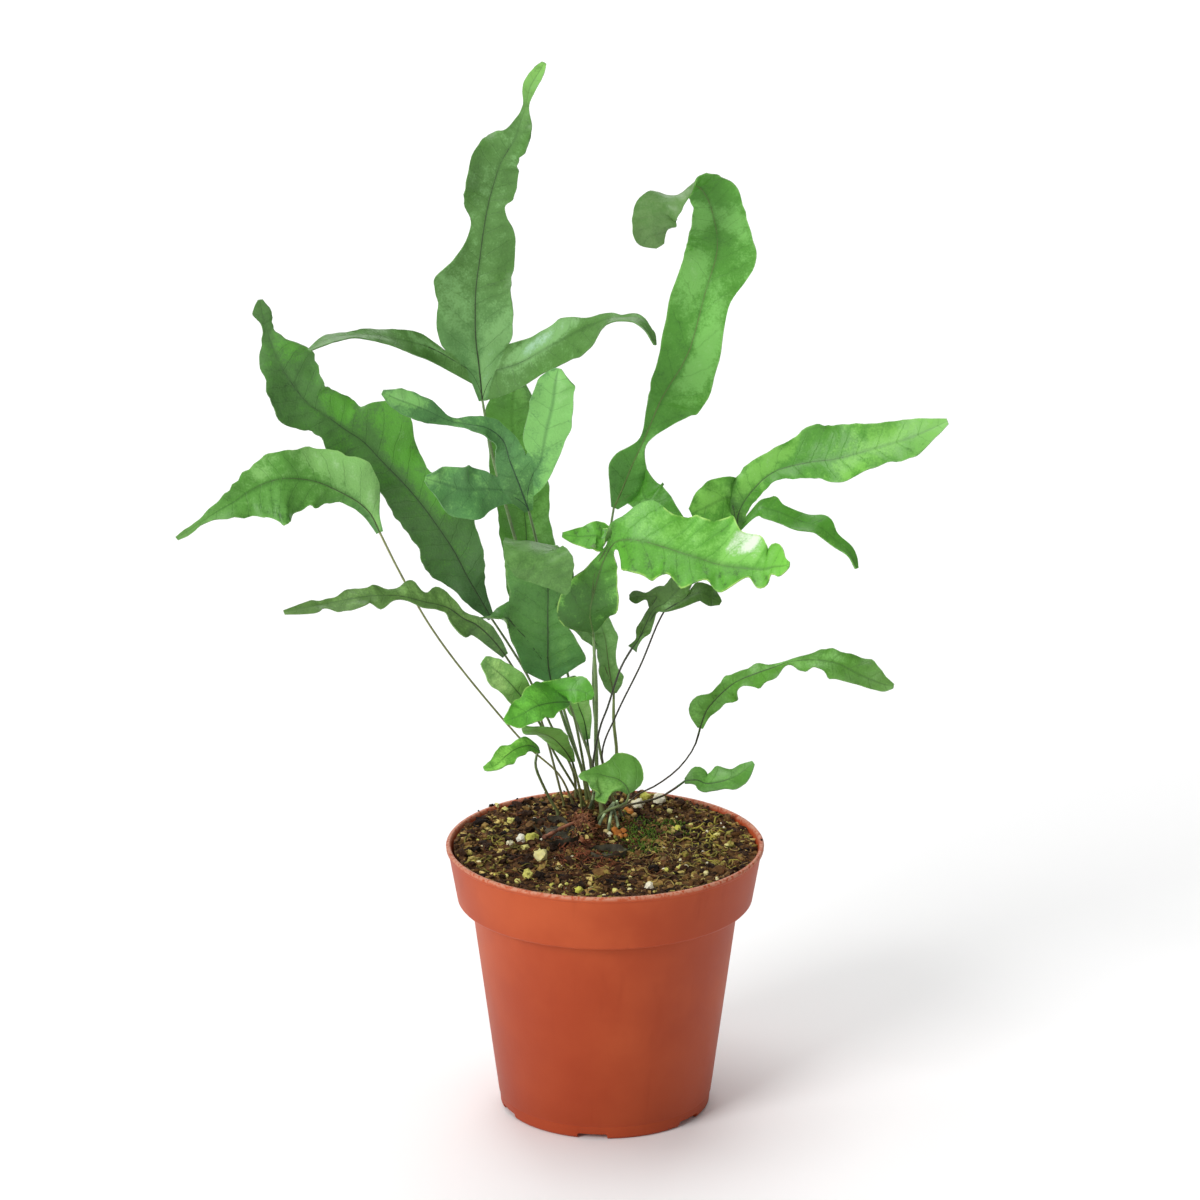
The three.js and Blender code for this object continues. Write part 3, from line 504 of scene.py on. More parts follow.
def lobePoint(lobe, blade, fraction, across):
    low, high = lobe["span"]
    rootAt = low + (high - low) * (1 - lobe["side"] * across) / 2
    root = bladePoint(blade, rootAt, lobe["side"])[0]
    carried = root + curveAt(lobe["rows"], fraction).xyz - Vector(lobe["rows"][0][:3])
    free, off = bladePoint(lobe, fraction, across)
    return carried.lerp(free, ease(0, lobe["blend"], fraction)), off


def toneAt(strip, fraction, across):
    # light and dark patches, partly the leaf's own tone and partly painted highlights, sheen and shade: place
    # along and across the blade, reach in mm and strength
    tone = strip["tone"]
    for place, side, reach, strength in strip["patches"]:
        slant = 0.5 * (abs(across) - abs(side)) * reach
        far = ((fraction - place) * strip["length"] - slant) / reach
        tone += strength * math.exp(-far ** 2 - ((across - side) / 0.55) ** 2)
    return tone


def setLobe(lobe, blade, count):
    # the lobe's root takes whole steps of the blade's edge
    lobe = {**plainLobe, **lobe, "tilts": {}}
    first = round(lobe["span"][0] * count)
    steps = max(2, round(lobe["span"][1] * count) - first)
    lobe["span"] = (first / count, (first + steps) / count)
    low, high = lobe["span"]
    ends = [bladePoint(blade, f, lobe["side"])[0] for f in (low, (low + high) / 2, high)]
    half = (ends[2] - ends[0]).length / 2
    lobe["rows"] = [(*ends[1], half, half), *bothSides(lobe["rows"])]
    lobe["length"] = lengthOf(lobe["rows"])
    return lobe, steps


def growSheet(rows, columns, place, marksOf):
    bpy.ops.mesh.primitive_grid_add(x_subdivisions=columns, y_subdivisions=rows, size=2)
    sheet = bpy.context.object
    data = sheet.data
    data.uv_layers[0].name = "bladeMap"
    marks = data.attributes.new("leafMarks", "FLOAT_COLOR", "POINT")
    flat = []
    for vertex, mark in zip(data.vertices, marks.data):
        across, fraction = round(vertex.co.x, 6), round((vertex.co.y + 1) / 2, 6)
        point, off = place(fraction, across)
        vertex.co = point * mm
        edge, grown, tone, along = marksOf(fraction, across)
        mark.color = (edge, grown, tone, 0)
        flat.append((off / 100, along / 100))
    for loop, spot in zip(data.loops, data.uv_layers[0].data):
        spot.uv = flat[loop.vertex_index]
    return sheet


def drawStrands(name, lines, sides=1):
    # round strands with a thickness at each point
    curve = bpy.data.curves.new(name, "CURVE")
    curve.dimensions = "3D"
    curve.bevel_depth = mm
    curve.bevel_resolution = sides
    curve.use_fill_caps = True
    for points, radii in lines:
        spline = curve.splines.new("POLY")
        spline.points.add(len(points) - 1)
        for spot, point, radius in zip(spline.points, points, radii):
            spot.co = (*(Vector(point) * mm), 1)
            spot.radius = radius
    strands = bpy.data.objects.new(name, curve)
    bpy.context.collection.objects.link(strands)
    pickUp(strands)
    bpy.ops.object.convert(target="MESH")
    weldUp(bpy.context.object, 0.000001)
    return bpy.context.object


def makeLeaf(look):
    board = Board(look["node"].replace("frond", "leafGreen"),
                  {"Specular IOR Level": 0.32, "Coat Weight": 0.05, "Coat Roughness": 0.28})
    where = board.place()
    marks = board.add("ShaderNodeAttribute", {"attribute_name": "leafMarks"}, output="Color")
    kind = marks["Alpha"]
    parts = board.add("ShaderNodeSeparateColor", None, {0: marks})
    edge, grown, tone = parts, parts["Green"], parts["Blue"]
    flat = board.add("ShaderNodeSeparateXYZ", None,
                     {0: board.add("ShaderNodeUVMap", {"uv_map": "bladeMap"})})
    broad = board.cloud(where, 55, 3)
    mottle = board.cloud(where, 330, 4, 0.6)
    fine = board.cloud(where, 1500, 2)
    # side veins run out from the midrib and a little towards the tip
    wander = (mottle - 0.5) * 0.02
    vein = (flat["Y"] - abs(flat) * 0.62 + wander) * (100 / leaf["veinPitch"])
    vein = abs(vein.sum("FRACT", vein) - 0.5) * 2
    veins = board.ease(vein, 0.90, 1.0) * board.ease(edge, 1.0, 0.7)
    # from shade to light: the patches, partly painted highlights and shade, then clouds, painted light and
    # shade in stripes between the veins, and a fine grain
    level = tone + (broad - 0.5) * 1.5 + (mottle - 0.5) * 1.5 + (fine - 0.5) * 1.1
    level = level + (0.5 - vein) * board.ease(edge, 0.1, 0.4) * look["bands"]
    dark = look["shade"]
    colour = board.blend(board.ease(grown, 0.28, 0.02) * 0.85, look["blade"], look["start"])
    colour = board.blend(board.ease(grown, 0.72, 1.0) * 0.85, colour, look["tip"])
    colour = board.blend(board.ease(level, 0.0, -0.9), colour, dark)
    colour = board.blend(board.ease(level, 0.0, 0.9), colour, look["light"])
    # the strongest patches go over to the sheen colour: a painted highlight
    colour = board.blend(board.ease(level, 1.1, 2.4) * 0.8, colour, look["sheen"])
    colour = board.blend(veins * 0.2, colour, dark)
    # painted shade in the crease along the midrib
    colour = board.blend(board.ease(edge, 0.14, 0.0) * 0.45, colour, dark)
    rim = board.ease(edge, 0.93, 1.0) * board.ease(mottle, 0.38, 0.56) * look["rim"]
    colour = board.blend(rim, colour, look["margin"])
    under = board.blend(board.ease(level, 0.5, -0.5) * 0.5, look["under"], dark)
    colour = board.blend(board.ease(kind, 0.3, 0.45) * 0.95, colour, under)
    # the stalk goes brown near the soil, and its colour changes where it runs on as the midrib
    height = board.add("ShaderNodeSeparateXYZ", None, {0: where})["Z"]
    stalk = board.blend(board.ease(height, 0.12, 0.092) * 0.4, look["stalk"], leaf["soilBrown"])
    stalk = board.blend(board.ease(mottle, 0.5, 0.62) * 0.5, stalk, [c * 0.78 for c in look["stalk"]])
    stalk = board.blend(board.ease(grown, 0.0, 0.1), stalk, look["rib"])
    colour = board.blend(board.ease(kind, 0.7, 0.9), colour, stalk)
    relief = mottle * 0.6 + fine * 0.35 - veins * 0.25
    return board.finish(colour, 0.3 + mottle * 0.24, (relief, 0.45, 0.0007))


def growBlade(blade):
    # the blade and its lobes as one thick sheet, and the lines of the lobes' ribs
    count = max(7, round(blade["length"] / leaf["rowStep"]))
    fine = leaf["fineness"]
    lobes = [setLobe(lobe, blade, count) for lobe in blade["lobes"]]

    def bladeMarks(fraction, across):
        # the edge counts for less where a lobe is joined on
        edge = abs(across)
        for lobe, _ in lobes:
            if across * lobe["side"] > 0:
                low, high = lobe["span"]
                joined = ease(low - 0.01, low + 0.02, fraction) * ease(high + 0.01, high - 0.02, fraction)
                edge = min(edge, 1 - 0.4 * joined)
        return edge, fraction, toneAt(blade, fraction, across), fraction * blade["length"]

    sheets = [growSheet(count * fine, max(blade["columns"] * fine, 10),
                        lambda f, a: bladePoint(blade, f, a), bladeMarks)]
    ribs = []
    for lobe, steps in lobes:
        lines = max(4, round(lobe["length"] / leaf["rowStep"]))
        sheets.append(growSheet(lines * fine, steps * fine,
                                lambda f, a, lobe=lobe: lobePoint(lobe, blade, f, a),
                                lambda f, a, lobe=lobe: (abs(a) * ease(-0.02, 0.06, f), 0.35 + 0.3 * f,
                                                         toneAt(lobe, f, a) * ease(0, 0.2, f),
                                                         f * lobe["length"])))
        low, high = lobe["span"]
        middle = (low + high) / 2
        points = [bladePoint(blade, middle - (middle - low * 0.3) * (1 - s), lobe["side"] * s)[0]
                  for s in (0, 0.2, 0.4, 0.6, 0.8)]
        last = leaf["lobeRibSteps"]
        points += [lobePoint(lobe, blade, leaf["lobeRibReach"] * s / last, 0)[0] for s in range(last + 1)]
        ribs.append((points, [leaf["lobeRib"] - 0.08 * s / len(points) for s in range(len(points))]))

    sheet = pickUp(*sheets)
    if len(sheets) > 1:
        bpy.ops.object.join()
        weldUp(sheet, 0.00002, outward=False)
    sheet.name = blade["node"].replace("frond", "leaf")
    before = len(sheet.data.vertices)
    normal, place = sheet.data.vertices[0].normal.copy(), sheet.data.vertices[0].co.copy()
    applyModifier(sheet, "SOLIDIFY", {"thickness": leaf["thickness"] * mm, "offset": 0})
    lower = (sheet.data.vertices[0].co - place).dot(normal) < 0
    for k, mark in enumerate(sheet.data.attributes["leafMarks"].data):
        if (k < before) == lower:
            mark.color = (*mark.color[:3], 0.5)
    return sheet, ribs


def growStalk(blade, ribs):
    # it stands in the soil and runs on as the midrib
    x, y = blade["root"]
    free = [(x, y, soil["level"] + leaf["upright"]), *blade["stipe"], blade["rows"][0][:3]]
    steps = max(8, round(lengthOf(free) / leaf["stalkStep"]))
    base = blade["stalkRadius"]
    points = [(x, y, soil["level"] - leaf["rootDepth"])]
    radii = [base * 1.2]
    for k in range(steps):
        points.append(curveAt(free, k / steps))
        swell = 1 + 0.35 * math.exp(-k * leaf["stalkStep"] / 8) + 0.08 * noise.noise(Vector((k * 0.7, x, y)))
        radii.append(base * swell + (leaf["ribStart"] - base) * ease(0.75, 1, k / steps))
    rib = []
    last = leaf["ribSteps"]
    for k in range(last + 1):
        rib.append(bladePoint(blade, leaf["ribReach"] * k / last, 0)[0])
        radii.append(leaf["ribStart"] + (leaf["ribEnd"] - leaf["ribStart"]) * (k / last) ** 0.7)
    stalk = drawStrands("stalk", [(points + rib, radii), *ribs], 2)
    marks = stalk.data.attributes.new("leafMarks", "FLOAT_COLOR", "POINT")
    low = Vector(blade["rows"][0][:3])
    onward = (Vector(blade["rows"][1][:3]) - low).normalized()
    stalkPoints = [Vector(point) * mm for point in points]
    for vertex, mark in zip(stalk.data.vertices, marks.data):
        bare = min((vertex.co - point).length for point in stalkPoints) < 2 * mm
        bare = bare and (vertex.co / mm - low).dot(onward) < 0.3
        mark.color = (0, 0 if bare else 0.5, 0, 1)
    return stalk


def growFrond(frond):
    rows = bothSides(frond["rows"])
    blade = {**plain, **frond, "rows": rows, "tilts": {}, "length": lengthOf(rows)}
    sheet, ribs = growBlade(blade)
    pickUp(sheet, growStalk(blade, ribs))
    bpy.ops.object.join()
    smoothOff(sheet, 60)
    handOver(sheet, makeLeaf(blade), blade["node"])


tallFrond = {
    "node": "frond_tall", "slot": "leaf_blue",
    "root": (-5, 45),
    "stipe": [(-15, 40, 129), (-28, 36, 179), (-37, 32, 215)],
    "rows": [
        (-40.5, 30, 236, 1.2), (-41.5, 29, 248, 5, 6.5), (-42.5, 28, 258, 12.5, 11.5),
        (-42.5, 27, 270, 12, 12.5), (-42, 26.5, 277, 13.5, 12), (-41, 26, 284, 9, 11.5),
        (-39.5, 25.5, 295, 4.5, 9.7), (-38, 25, 303, 8, 5.5), (-36.5, 24, 309, 9, 8),
        (-34, 22, 317, 10, 6.5), (-31.5, 21, 321.5, 9, 4.3), (-29, 19, 326, 5, 6),
        (-27.5, 17.5, 331, 2, 5.5), (-25.5, 16, 337, 1.1, 1.2), (-24, 14.5, 343.5, 2.6, 2),
        (-21, 13, 349, 2.2, 1.7), (-19.5, 12, 352, 0.8),
    ],
    "face": [(0, -1, 0.2), (0, -1, 0.3), (0.2, -1, 0.2), (-0.4, -0.8, 0.2), (0.1, -1, 0.1)],
    "waves": 4, "phase": 1, "cup": 10,
    "lobes": [
        {"side": -1, "span": (0.02, 0.09),
         "patches": [(0.15, 0.2, 7, 0.9), (0.6, 0.5, 10, 0.4), (0.55, -0.6, 9, -0.6)],
         "rows": [(-57, 25, 255, 5, 4.5), (-67, 18, 259.5, 4.5), (-76, 12, 262.5, 3.2, 3),
                  (-82, 7, 263.5, 2), (-89, 1, 264, 2.7, 2.3), (-95, -6, 262, 0.7)],
         "face": [(0, -0.9, 0.5), (0, -0.5, 0.85), (0, -0.3, 1)]},
        {"side": 1, "span": (0.01, 0.1),
         # the strong patch at the lobe's root is a painted pale sheen
         "patches": [(0.1, -0.4, 9, 2.4), (0.3, -0.6, 9, 1.1), (0.4, 0.6, 14, -0.7), (0.75, -0.5, 8, 0.4)],
         "rows": [(-28, 25, 250, 7.5), (-20, 21, 255.5, 7, 8), (-12, 17, 261, 6.5, 10),
                  (-5, 13, 265.5, 3.5, 10.5), (1, 10, 268.5, 2.6, 7.5), (5.5, 7, 269.5, 1.2, 2.6),
                  (10.5, 4, 270, 2.5, 3), (14, 0, 267, 2.5, 2.6), (16, -3, 263, 0.7)],
         "face": [(0, -0.9, 0.5), (0.2, -0.7, 0.7), (0.3, -0.5, 0.8), (0.8, -0.4, 0.6)]},
    ],
    "blade": (84, 130, 60), "light": (122, 172, 102), "shade": (60, 98, 42), "start": (96, 146, 84),
    "tip": (140, 204, 96), "margin": (112, 158, 88), "under": (112, 150, 88), "sheen": (166, 206, 176),
    "stalk": (118, 144, 92), "rib": (50, 66, 38), "stalkRadius": 0.5,
    # the first patch is a painted pale sheen at the blade's base
    "patches": [(0.04, 0.4, 5, 1.2), (0.12, 0.6, 8, 0.8), (0.2, -0.5, 13, 0.4), (0.3, 0.0, 30, -0.2),
                (0.42, 0.5, 13, -0.6), (0.48, -0.6, 9, -0.3), (0.62, 0.6, 9, 0.5), (0.7, -0.4, 10, -0.5),
                (0.8, 0.3, 6, -0.5)],
}

curledFrond = {
    "node": "frond_curled", "slot": "leaf_pale",
    "root": (4, 45),
    "stipe": [(-1, 46, 105), (-4, 50, 129), (-2, 52, 160), (1, 52, 180)],
    "rows": [
        (3, 52, 193, 1, 1.5), (6, 52, 200, 5, 6), (9, 51, 208, 8, 5), (13, 50, 217, 1.6),
        (18, 48, 230, 4, 10.5), (21, 47, 236, 6.5, 13), (28, 45, 249, 9.3, 11), (33, 43, 269, 10.4, 9.5),
        (36.5, 42.5, 281, 11, 12.5), (37, 42, 288, 9.5, 11.5), (36, 42, 294, 8, 11), (34, 41, 301, 6, 10),
        (31, 38, 306, 5, 7.5), (28, 33, 307.5, 4.5, 6), (25, 28.5, 306, 5), (21, 25.5, 304.5, 5.5),
        (17.5, 24, 302, 7), (16, 24, 297.5, 7.5), (16, 25, 293, 6.5, 5.5), (18, 26, 289, 1.5),
    ],
    "face": [(0.2, -1, 0.1), (0.3, -1, 0.1), (0, -1, 0.1), (0, -1, 0.1), (-0.1, -1, 0.1), (0, -1, 0.1),
             (0, -1, 0.1), (0, -1, 0), (0, -1, -0.2), (0, -0.2, -1), (-0.1, 0.8, -0.5), (-0.2, 1, 0),
             (-0.2, 1, 0)],
    "waves": 6, "lift": 1,
    "lobes": [
        {"side": 1, "span": (0.02, 0.12),
         "patches": [(0.4, 0.3, 6, 0.5), (0.7, -0.4, 5, -0.5)],
         "rows": [(14, 47, 197, 8, 5), (20, 44, 194, 5), (27, 42, 190, 0.8)]},
    ],
    "blade": (86, 154, 52), "light": (124, 192, 92), "shade": (62, 116, 38), "start": (90, 150, 66),
    "tip": (84, 150, 48), "margin": (150, 206, 110), "under": (104, 140, 80), "sheen": (170, 220, 150),
    "stalk": (114, 142, 86), "rib": (104, 124, 66), "stalkRadius": 0.48,
    "patches": [(0.1, -0.5, 6, -0.3), (0.14, 0.5, 6, 0.5), (0.28, -0.5, 8, -0.8), (0.32, 0.5, 9, 1.3),
                (0.4, -0.6, 8, 1.3), (0.46, 0.0, 6, -0.9), (0.5, 0.6, 9, 0.9), (0.55, -0.6, 9, 1.2),
                (0.62, 0.6, 9, -0.5), (0.68, -0.3, 8, -1.0), (0.73, 0.6, 8, 0.5)],
}

frontFrond = {
    "node": "frond_front", "slot": "leaf_pale",
    "root": (-1, 33),
    "stipe": [(-2, 32, 99), (-3, 28, 114), (-3, 19, 139)],
    "rows": [
        (-4, 8, 163, 1.2), (-5, 4, 171, 11.5, 7.5), (-3, 1, 181, 8), (-1, -2, 189, 4, 5),
        (2, -5, 196, 1.6), (5, -8, 199, 7), (11.5, -12, 200, 12.5, 12), (19.5, -15, 198.5, 12.5, 12),
        (24, -17, 197.5, 13, 10.5), (29, -19, 196.5, 14.5, 12), (35, -21, 195, 16.5, 8),
        (40, -23, 194.5, 15, 10), (47, -26, 194.5, 11, 5), (51, -28, 195, 8.5, 7.5),
        (54, -29, 196, 8.5, 3.8), (57, -31, 197, 4), (59, -32, 198, 1),
    ],
    "face": [(0, -1, 0.1), (0, -1, 0.2), (0.1, -1, 0.4), (0, -0.7, 0.7), (0, -0.7, 0.7), (0.1, -0.6, 0.8),
             (0.1, -0.6, 0.8)],
    "waves": 8, "lift": 0.9, "scallop": 0.09,
    "lobes": [
        {"side": -1, "span": (0.29, 0.37),
         "rows": [(0, -6, 199.5, 4.5), (-3, -6, 200, 5.2, 5), (-8, -5.5, 199.5, 3.6, 3.4),
                  (-14, -5, 200, 0.8)],
         "face": [(0, -0.8, 0.6)]},
    ],
    "blade": (92, 164, 52), "light": (126, 196, 84), "shade": (62, 102, 42), "start": (60, 98, 48),
    "tip": (126, 204, 76), "margin": (176, 220, 110), "under": (110, 150, 80), "sheen": (240, 248, 232),
    "stalk": (128, 158, 100), "rib": (86, 116, 56), "stalkRadius": 0.7,
    "frill": 1.0, "bands": 0.5, "rim": 0.7,
    # the strongest pale patch, near the tip, is a painted highlight in the near-white sheen colour
    "patches": [(0.06, 0.0, 10, -1.6), (0.17, 0.0, 10, -1.8), (0.12, -0.9, 4, 0.6), (0.4, -0.5, 9, 0.5),
                (0.48, 0.5, 9, -0.3), (0.6, -0.3, 8, 0.3), (0.7, 0.5, 8, -0.5), (0.73, -0.8, 4, 2.6),
                (0.67, -0.5, 3, 1.3), (0.9, 0.5, 5, -0.3)],
}

noddingFrond = {
    "node": "frond_nodding", "slot": "leaf_deep",
    "root": (-6, 42),
    "stipe": [(-8, 38, 105), (-13, 30, 122)],
    "rows": [
        (-18, 22, 141, 1.2), (-19, 20, 148, 9, 12), (-19, 18, 157, 12, 9.5), (-19, 16, 166, 13, 6),
        (-19, 13, 178, 13.5, 8.5), (-21, 9, 188, 12, 8.5), (-24, 1, 196, 9.5, 8.5), (-23, -8, 195, 10, 9),
        (-20, -11, 191, 7.5, 10), (-16, -11, 186, 3.5, 7.5), (-12, -11, 182, 1),
    ],
    "face": [(0, -1, 0.1), (0, -1, 0.1), (0, -1, 0.2), (0, -1, 0.1), (0, -1, 0), (0, -0.9, -0.4),
             (-0.2, -0.4, -1), (-0.2, 0.6, -0.9), (0, 1, -0.2), (0, 1, 0), (0, 1, 0)],
    "waves": 4, "lift": 0.8, "cup": 4,
    "lobes": [
        {"side": -1, "span": (0.26, 0.34),
         "rows": [(-37, 10, 167, 2.5), (-43, 4, 169, 0.8)],
         "face": [(0, -0.2, 0.9), (0, 0.45, 0.9)]},
    ],
    "blade": (82, 134, 62), "light": (100, 154, 76), "shade": (52, 92, 38), "start": (86, 142, 80),
    "tip": (60, 96, 44), "margin": (126, 164, 96), "under": (106, 154, 78),
    "stalk": (112, 142, 86), "rib": (48, 70, 38), "stalkRadius": 0.54, "bands": 0.12, "rim": 0.7,
    "patches": [(0.2, 0.5, 10, 0.4), (0.3, -0.5, 10, -0.4), (0.5, 0.5, 8, -0.6), (0.6, -0.4, 8, 0.3),
                (0.45, -0.5, 6, 0.5)],
}

strapFrond = {
    "node": "frond_strap", "slot": "leaf_mid",
    "root": (-1, 45.5),
    "stipe": [(-5, 48, 105), (-14, 51, 129)],
    "rows": [
        (-20, 52, 146, 1.2), (-23, 52, 160, 8), (-26, 52, 175, 8.5, 9), (-27, 52, 189, 9),
        (-29, 51, 203, 9), (-31, 50, 219, 9), (-31, 49, 231, 8), (-29, 47, 240, 2),
    ],
    "face": [(0, -1, 0.2), (0.1, -1, 0.1), (0, -1, 0.2)],
    "lift": 0.9,
    "blade": (94, 154, 62), "light": (128, 192, 92), "shade": (72, 122, 42), "start": (86, 136, 64),
    "tip": (94, 152, 66), "margin": (110, 160, 86), "under": (100, 140, 80),
    "stalk": (112, 136, 84), "rib": (62, 90, 44), "stalkRadius": 0.44,
    "patches": [(0.9, 0.3, 8, 0.5), (0.7, 0.5, 9, -0.4), (0.6, -0.5, 9, 0.4), (0.4, 0.5, 10, 0.5),
                (0.25, -0.5, 8, -0.5)],
}

blueFrond = {
    "node": "frond_blue", "slot": "leaf_blue",
    "root": (1, 42),
    "stipe": [(-2, 42, 96), (-9, 38, 123), (-17, 25, 163), (-22, 13, 190)],
    "rows": [
        (-25, 6, 205, 1.4), (-28, 2, 215, 6, 5), (-31, -1, 224, 4.5, 6), (-33, -3, 231, 3.5, 4),
        (-38, -6, 236, 3.5), (-44, -9, 238, 3.5), (-50, -12, 240, 1.8), (-58, -16, 245, 4),
        (-66, -19, 249, 3.5), (-71, -21, 252, 0.8),
    ],
    "face": [(0, -1, 0.2), (0, -1, 0.2), (0, -0.8, 0.6), (-0.2, -0.5, 0.9), (-0.2, -0.9, 0.4),
             (0, -1, 0.3)],
    "waves": 4, "lift": 0.6,
    "lobes": [
        {"side": -1, "span": (0.05, 0.2),
         "patches": [(0.3, 0.2, 8, -0.3), (0.95, 0, 4, 1.2)],
         "rows": [(-39, -3, 215, 9, 6.5), (-46, -7, 216, 9.7, 7.7), (-53, -10, 219, 5.5),
                  (-58, -12, 221, 1)]},
        {"side": 1, "span": (0.06, 0.22),
         "tone": 0.8, "patches": [(0.85, 0.2, 8, 0.9), (0.6, 0.5, 8, 0.5), (0.12, 0, 7, -0.7)],
         "rows": [(-21, -2, 224, 7, 6.5), (-19, -5, 235, 7.3), (-17, -7, 244, 7), (-16, -9, 252, 6),
                  (-15, -10, 257, 1)]},
    ],
    "blade": (86, 142, 78), "light": (128, 192, 102), "shade": (58, 102, 56), "start": (78, 124, 66),
    "tip": (96, 148, 84), "margin": (120, 166, 104), "under": (100, 140, 84), "sheen": (160, 212, 140),
    "stalk": (110, 134, 86), "rib": (46, 72, 50), "stalkRadius": 0.44, "frill": 0.8,
    "patches": [(0.2, 0.5, 8, -0.6), (0.35, -0.5, 8, -0.3), (0.5, 0.0, 8, -0.3), (0.62, 0.4, 6, 0.3),
                (0.75, -0.4, 7, -0.2), (0.86, 0.4, 6, 1.4), (0.93, -0.2, 5, 0.9)],
}

broadLeftFrond = {
    "node": "frond_broad_left", "slot": "leaf_mid",
    "root": (-10, 45),
    "stipe": [(-11, 43.5, 102), (-19, 40, 121), (-26, 34, 139), (-32, 30, 151)],
    "rows": [
        (-38, 26, 162, 1.2), (-42, 24, 170, 4.5, 3), (-46, 22, 178, 8, 6), (-50, 20, 187, 10.5),
        (-55, 17, 196, 10, 12.5), (-60, 15, 204, 9.5, 11.5), (-66, 13.5, 212, 8, 10.5),
        (-73, 12, 220, 8, 13), (-79, 11, 227, 9.5, 16.5), (-85, 10, 231.5, 9.5, 10.5),
        (-90.5, 9, 236, 7, 8.5), (-97, 8, 241, 9.5, 8), (-102, 7, 248, 9, 11), (-106, 5, 256, 6.5, 10),
        (-108.5, 4, 263.5, 2.5, 4), (-109.5, 3, 268, 1.3, 2.4), (-110.5, 2, 272.5, 3.2, 3),
        (-111, 1, 277, 0.8),
    ],
    "face": [(0.1, -1, 0.3), (0, -1, 0.2), (0.1, -1, 0.3), (0.1, -1, 0.2)],
    "waves": 6, "lift": 1.6, "scallop": 0.08,
    "blade": (78, 126, 58), "light": (88, 158, 50), "shade": (56, 92, 42), "start": (68, 104, 62),
    "tip": (76, 118, 56), "margin": (110, 156, 80), "under": (100, 140, 80),
    "stalk": (104, 122, 76), "rib": (50, 72, 40), "stalkRadius": 0.42, "frill": 1.2, "bands": 0.1,
    "patches": [(0.1, 0.3, 14, -0.7), (0.2, -0.5, 10, -0.2), (0.3, 0.6, 10, 0.9), (0.42, 0.6, 8, 1.3),
                (0.36, 0.0, 22, -0.4), (0.5, -0.5, 10, -0.5), (0.58, 0.5, 8, 1.2), (0.66, 0.0, 20, -0.4),
                (0.7, -0.4, 10, -0.3), (0.78, 0.4, 8, 0.7), (0.9, 0.0, 6, -0.5)],
}

tornLeftFrond = {
    "node": "frond_torn_left", "slot": "leaf_pale",
    "root": (-11, 40),
    "stipe": [(-16, 38, 103), (-28, 34, 116), (-46, 24, 142), (-58, 14, 163), (-67, 6, 183)],
    "rows": [
        (-73.5, -2, 200, 1.2), (-76, -3, 206, 2.2, 3), (-79.5, -5, 210.5, 2.5, 9),
        (-84, -7, 214, 3, 12.5), (-88.5, -9, 217, 5.5, 12.5), (-93, -11, 219.5, 8.5, 11.5),
        (-98, -13, 221, 10.5, 9.5), (-103.5, -16, 222, 13, 8.5), (-107, -17, 221.5, 15.5, 9),
        (-110.5, -18, 220.5, 14.5, 6.5), (-115, -20, 218.5, 10, 5.5), (-119, -22, 216, 6, 3.5),
        (-124, -24, 213.5, 3.3, 2.8), (-129, -26, 210.5, 1, 1.2), (-133.5, -28, 208, 1.5, 1),
        (-137, -30, 206, 0.7),
    ],
    "face": [(0, -1, 0.2), (0, -1, 0.3), (0, -0.9, 0.5), (0, -0.9, 0.4), (0, -0.9, 0.4)],
    "waves": 4, "lift": 1.3,
    "blade": (90, 150, 60), "light": (130, 186, 100), "shade": (40, 88, 24), "start": (96, 150, 84),
    "tip": (112, 160, 84), "margin": (150, 196, 110), "under": (104, 146, 78),
    "stalk": (142, 148, 96), "rib": (72, 92, 50), "stalkRadius": 0.36, "frill": 1.5, "bands": 0.12,
    "patches": [(0.08, 0.4, 6, 1.2), (0.2, 0.6, 9, 0.9), (0.33, 0.7, 8, 1.1), (0.3, -0.5, 9, -0.3),
                (0.42, 0.05, 6, -0.8), (0.42, -0.6, 8, -0.8), (0.52, -0.5, 8, -1.2), (0.58, 0.3, 6, 1.0),
                (0.66, -0.3, 8, -1.3), (0.7, 0.6, 6, -0.3), (0.82, 0.1, 8, -0.6)],
}

narrowLeftFrond = {
    "node": "frond_narrow_left", "slot": "leaf_mid",
    "root": (-14, 37),
    "stipe": [(-15, 36, 97), (-22, 28, 127), (-29, 16, 145)],
    "rows": [
        (-33, 4, 156, 1.2), (-37, 2, 162, 2.8, 2.6), (-42, 0, 167.5, 3.6, 3), (-46.5, -2, 170.5, 6, 2.2),
        (-51, -4, 174.5, 2.3, 3.6), (-55, -6, 176.5, 1.8, 6), (-59, -8, 178, 2.6, 3.4),
        (-64, -10, 180, 1.2, 6), (-68, -11, 181, 1.6, 3.4), (-73.5, -14, 182, 5, 3.8),
        (-77, -15, 182, 3, 3.4), (-81, -17, 182, 5, 4.4), (-87, -19, 181.5, 4.4, 1.8),
        (-91.5, -21, 181, 2, 1.8), (-95, -23, 181, 3, 2.2), (-103.5, -26, 180, 0.8),
    ],
    "face": [(0, -0.9, 0.5), (0, -0.7, 0.7), (0, -0.6, 0.8), (0, -0.6, 0.8)],
    "waves": 6, "lift": 0.8,
    "blade": (88, 126, 60), "light": (122, 166, 84), "shade": (66, 100, 46), "start": (84, 124, 66),
    "tip": (92, 132, 60), "margin": (126, 164, 90), "under": (104, 142, 80),
    "stalk": (112, 126, 78), "rib": (60, 78, 44), "stalkRadius": 0.4, "frill": 1.2,
    "patches": [(0.2, 0.4, 8, 0.5), (0.3, -0.5, 8, -0.5), (0.45, 0.5, 7, 0.5), (0.6, -0.4, 7, -0.5),
                (0.75, 0.4, 7, 0.4), (0.85, -0.4, 6, -0.3)],
}

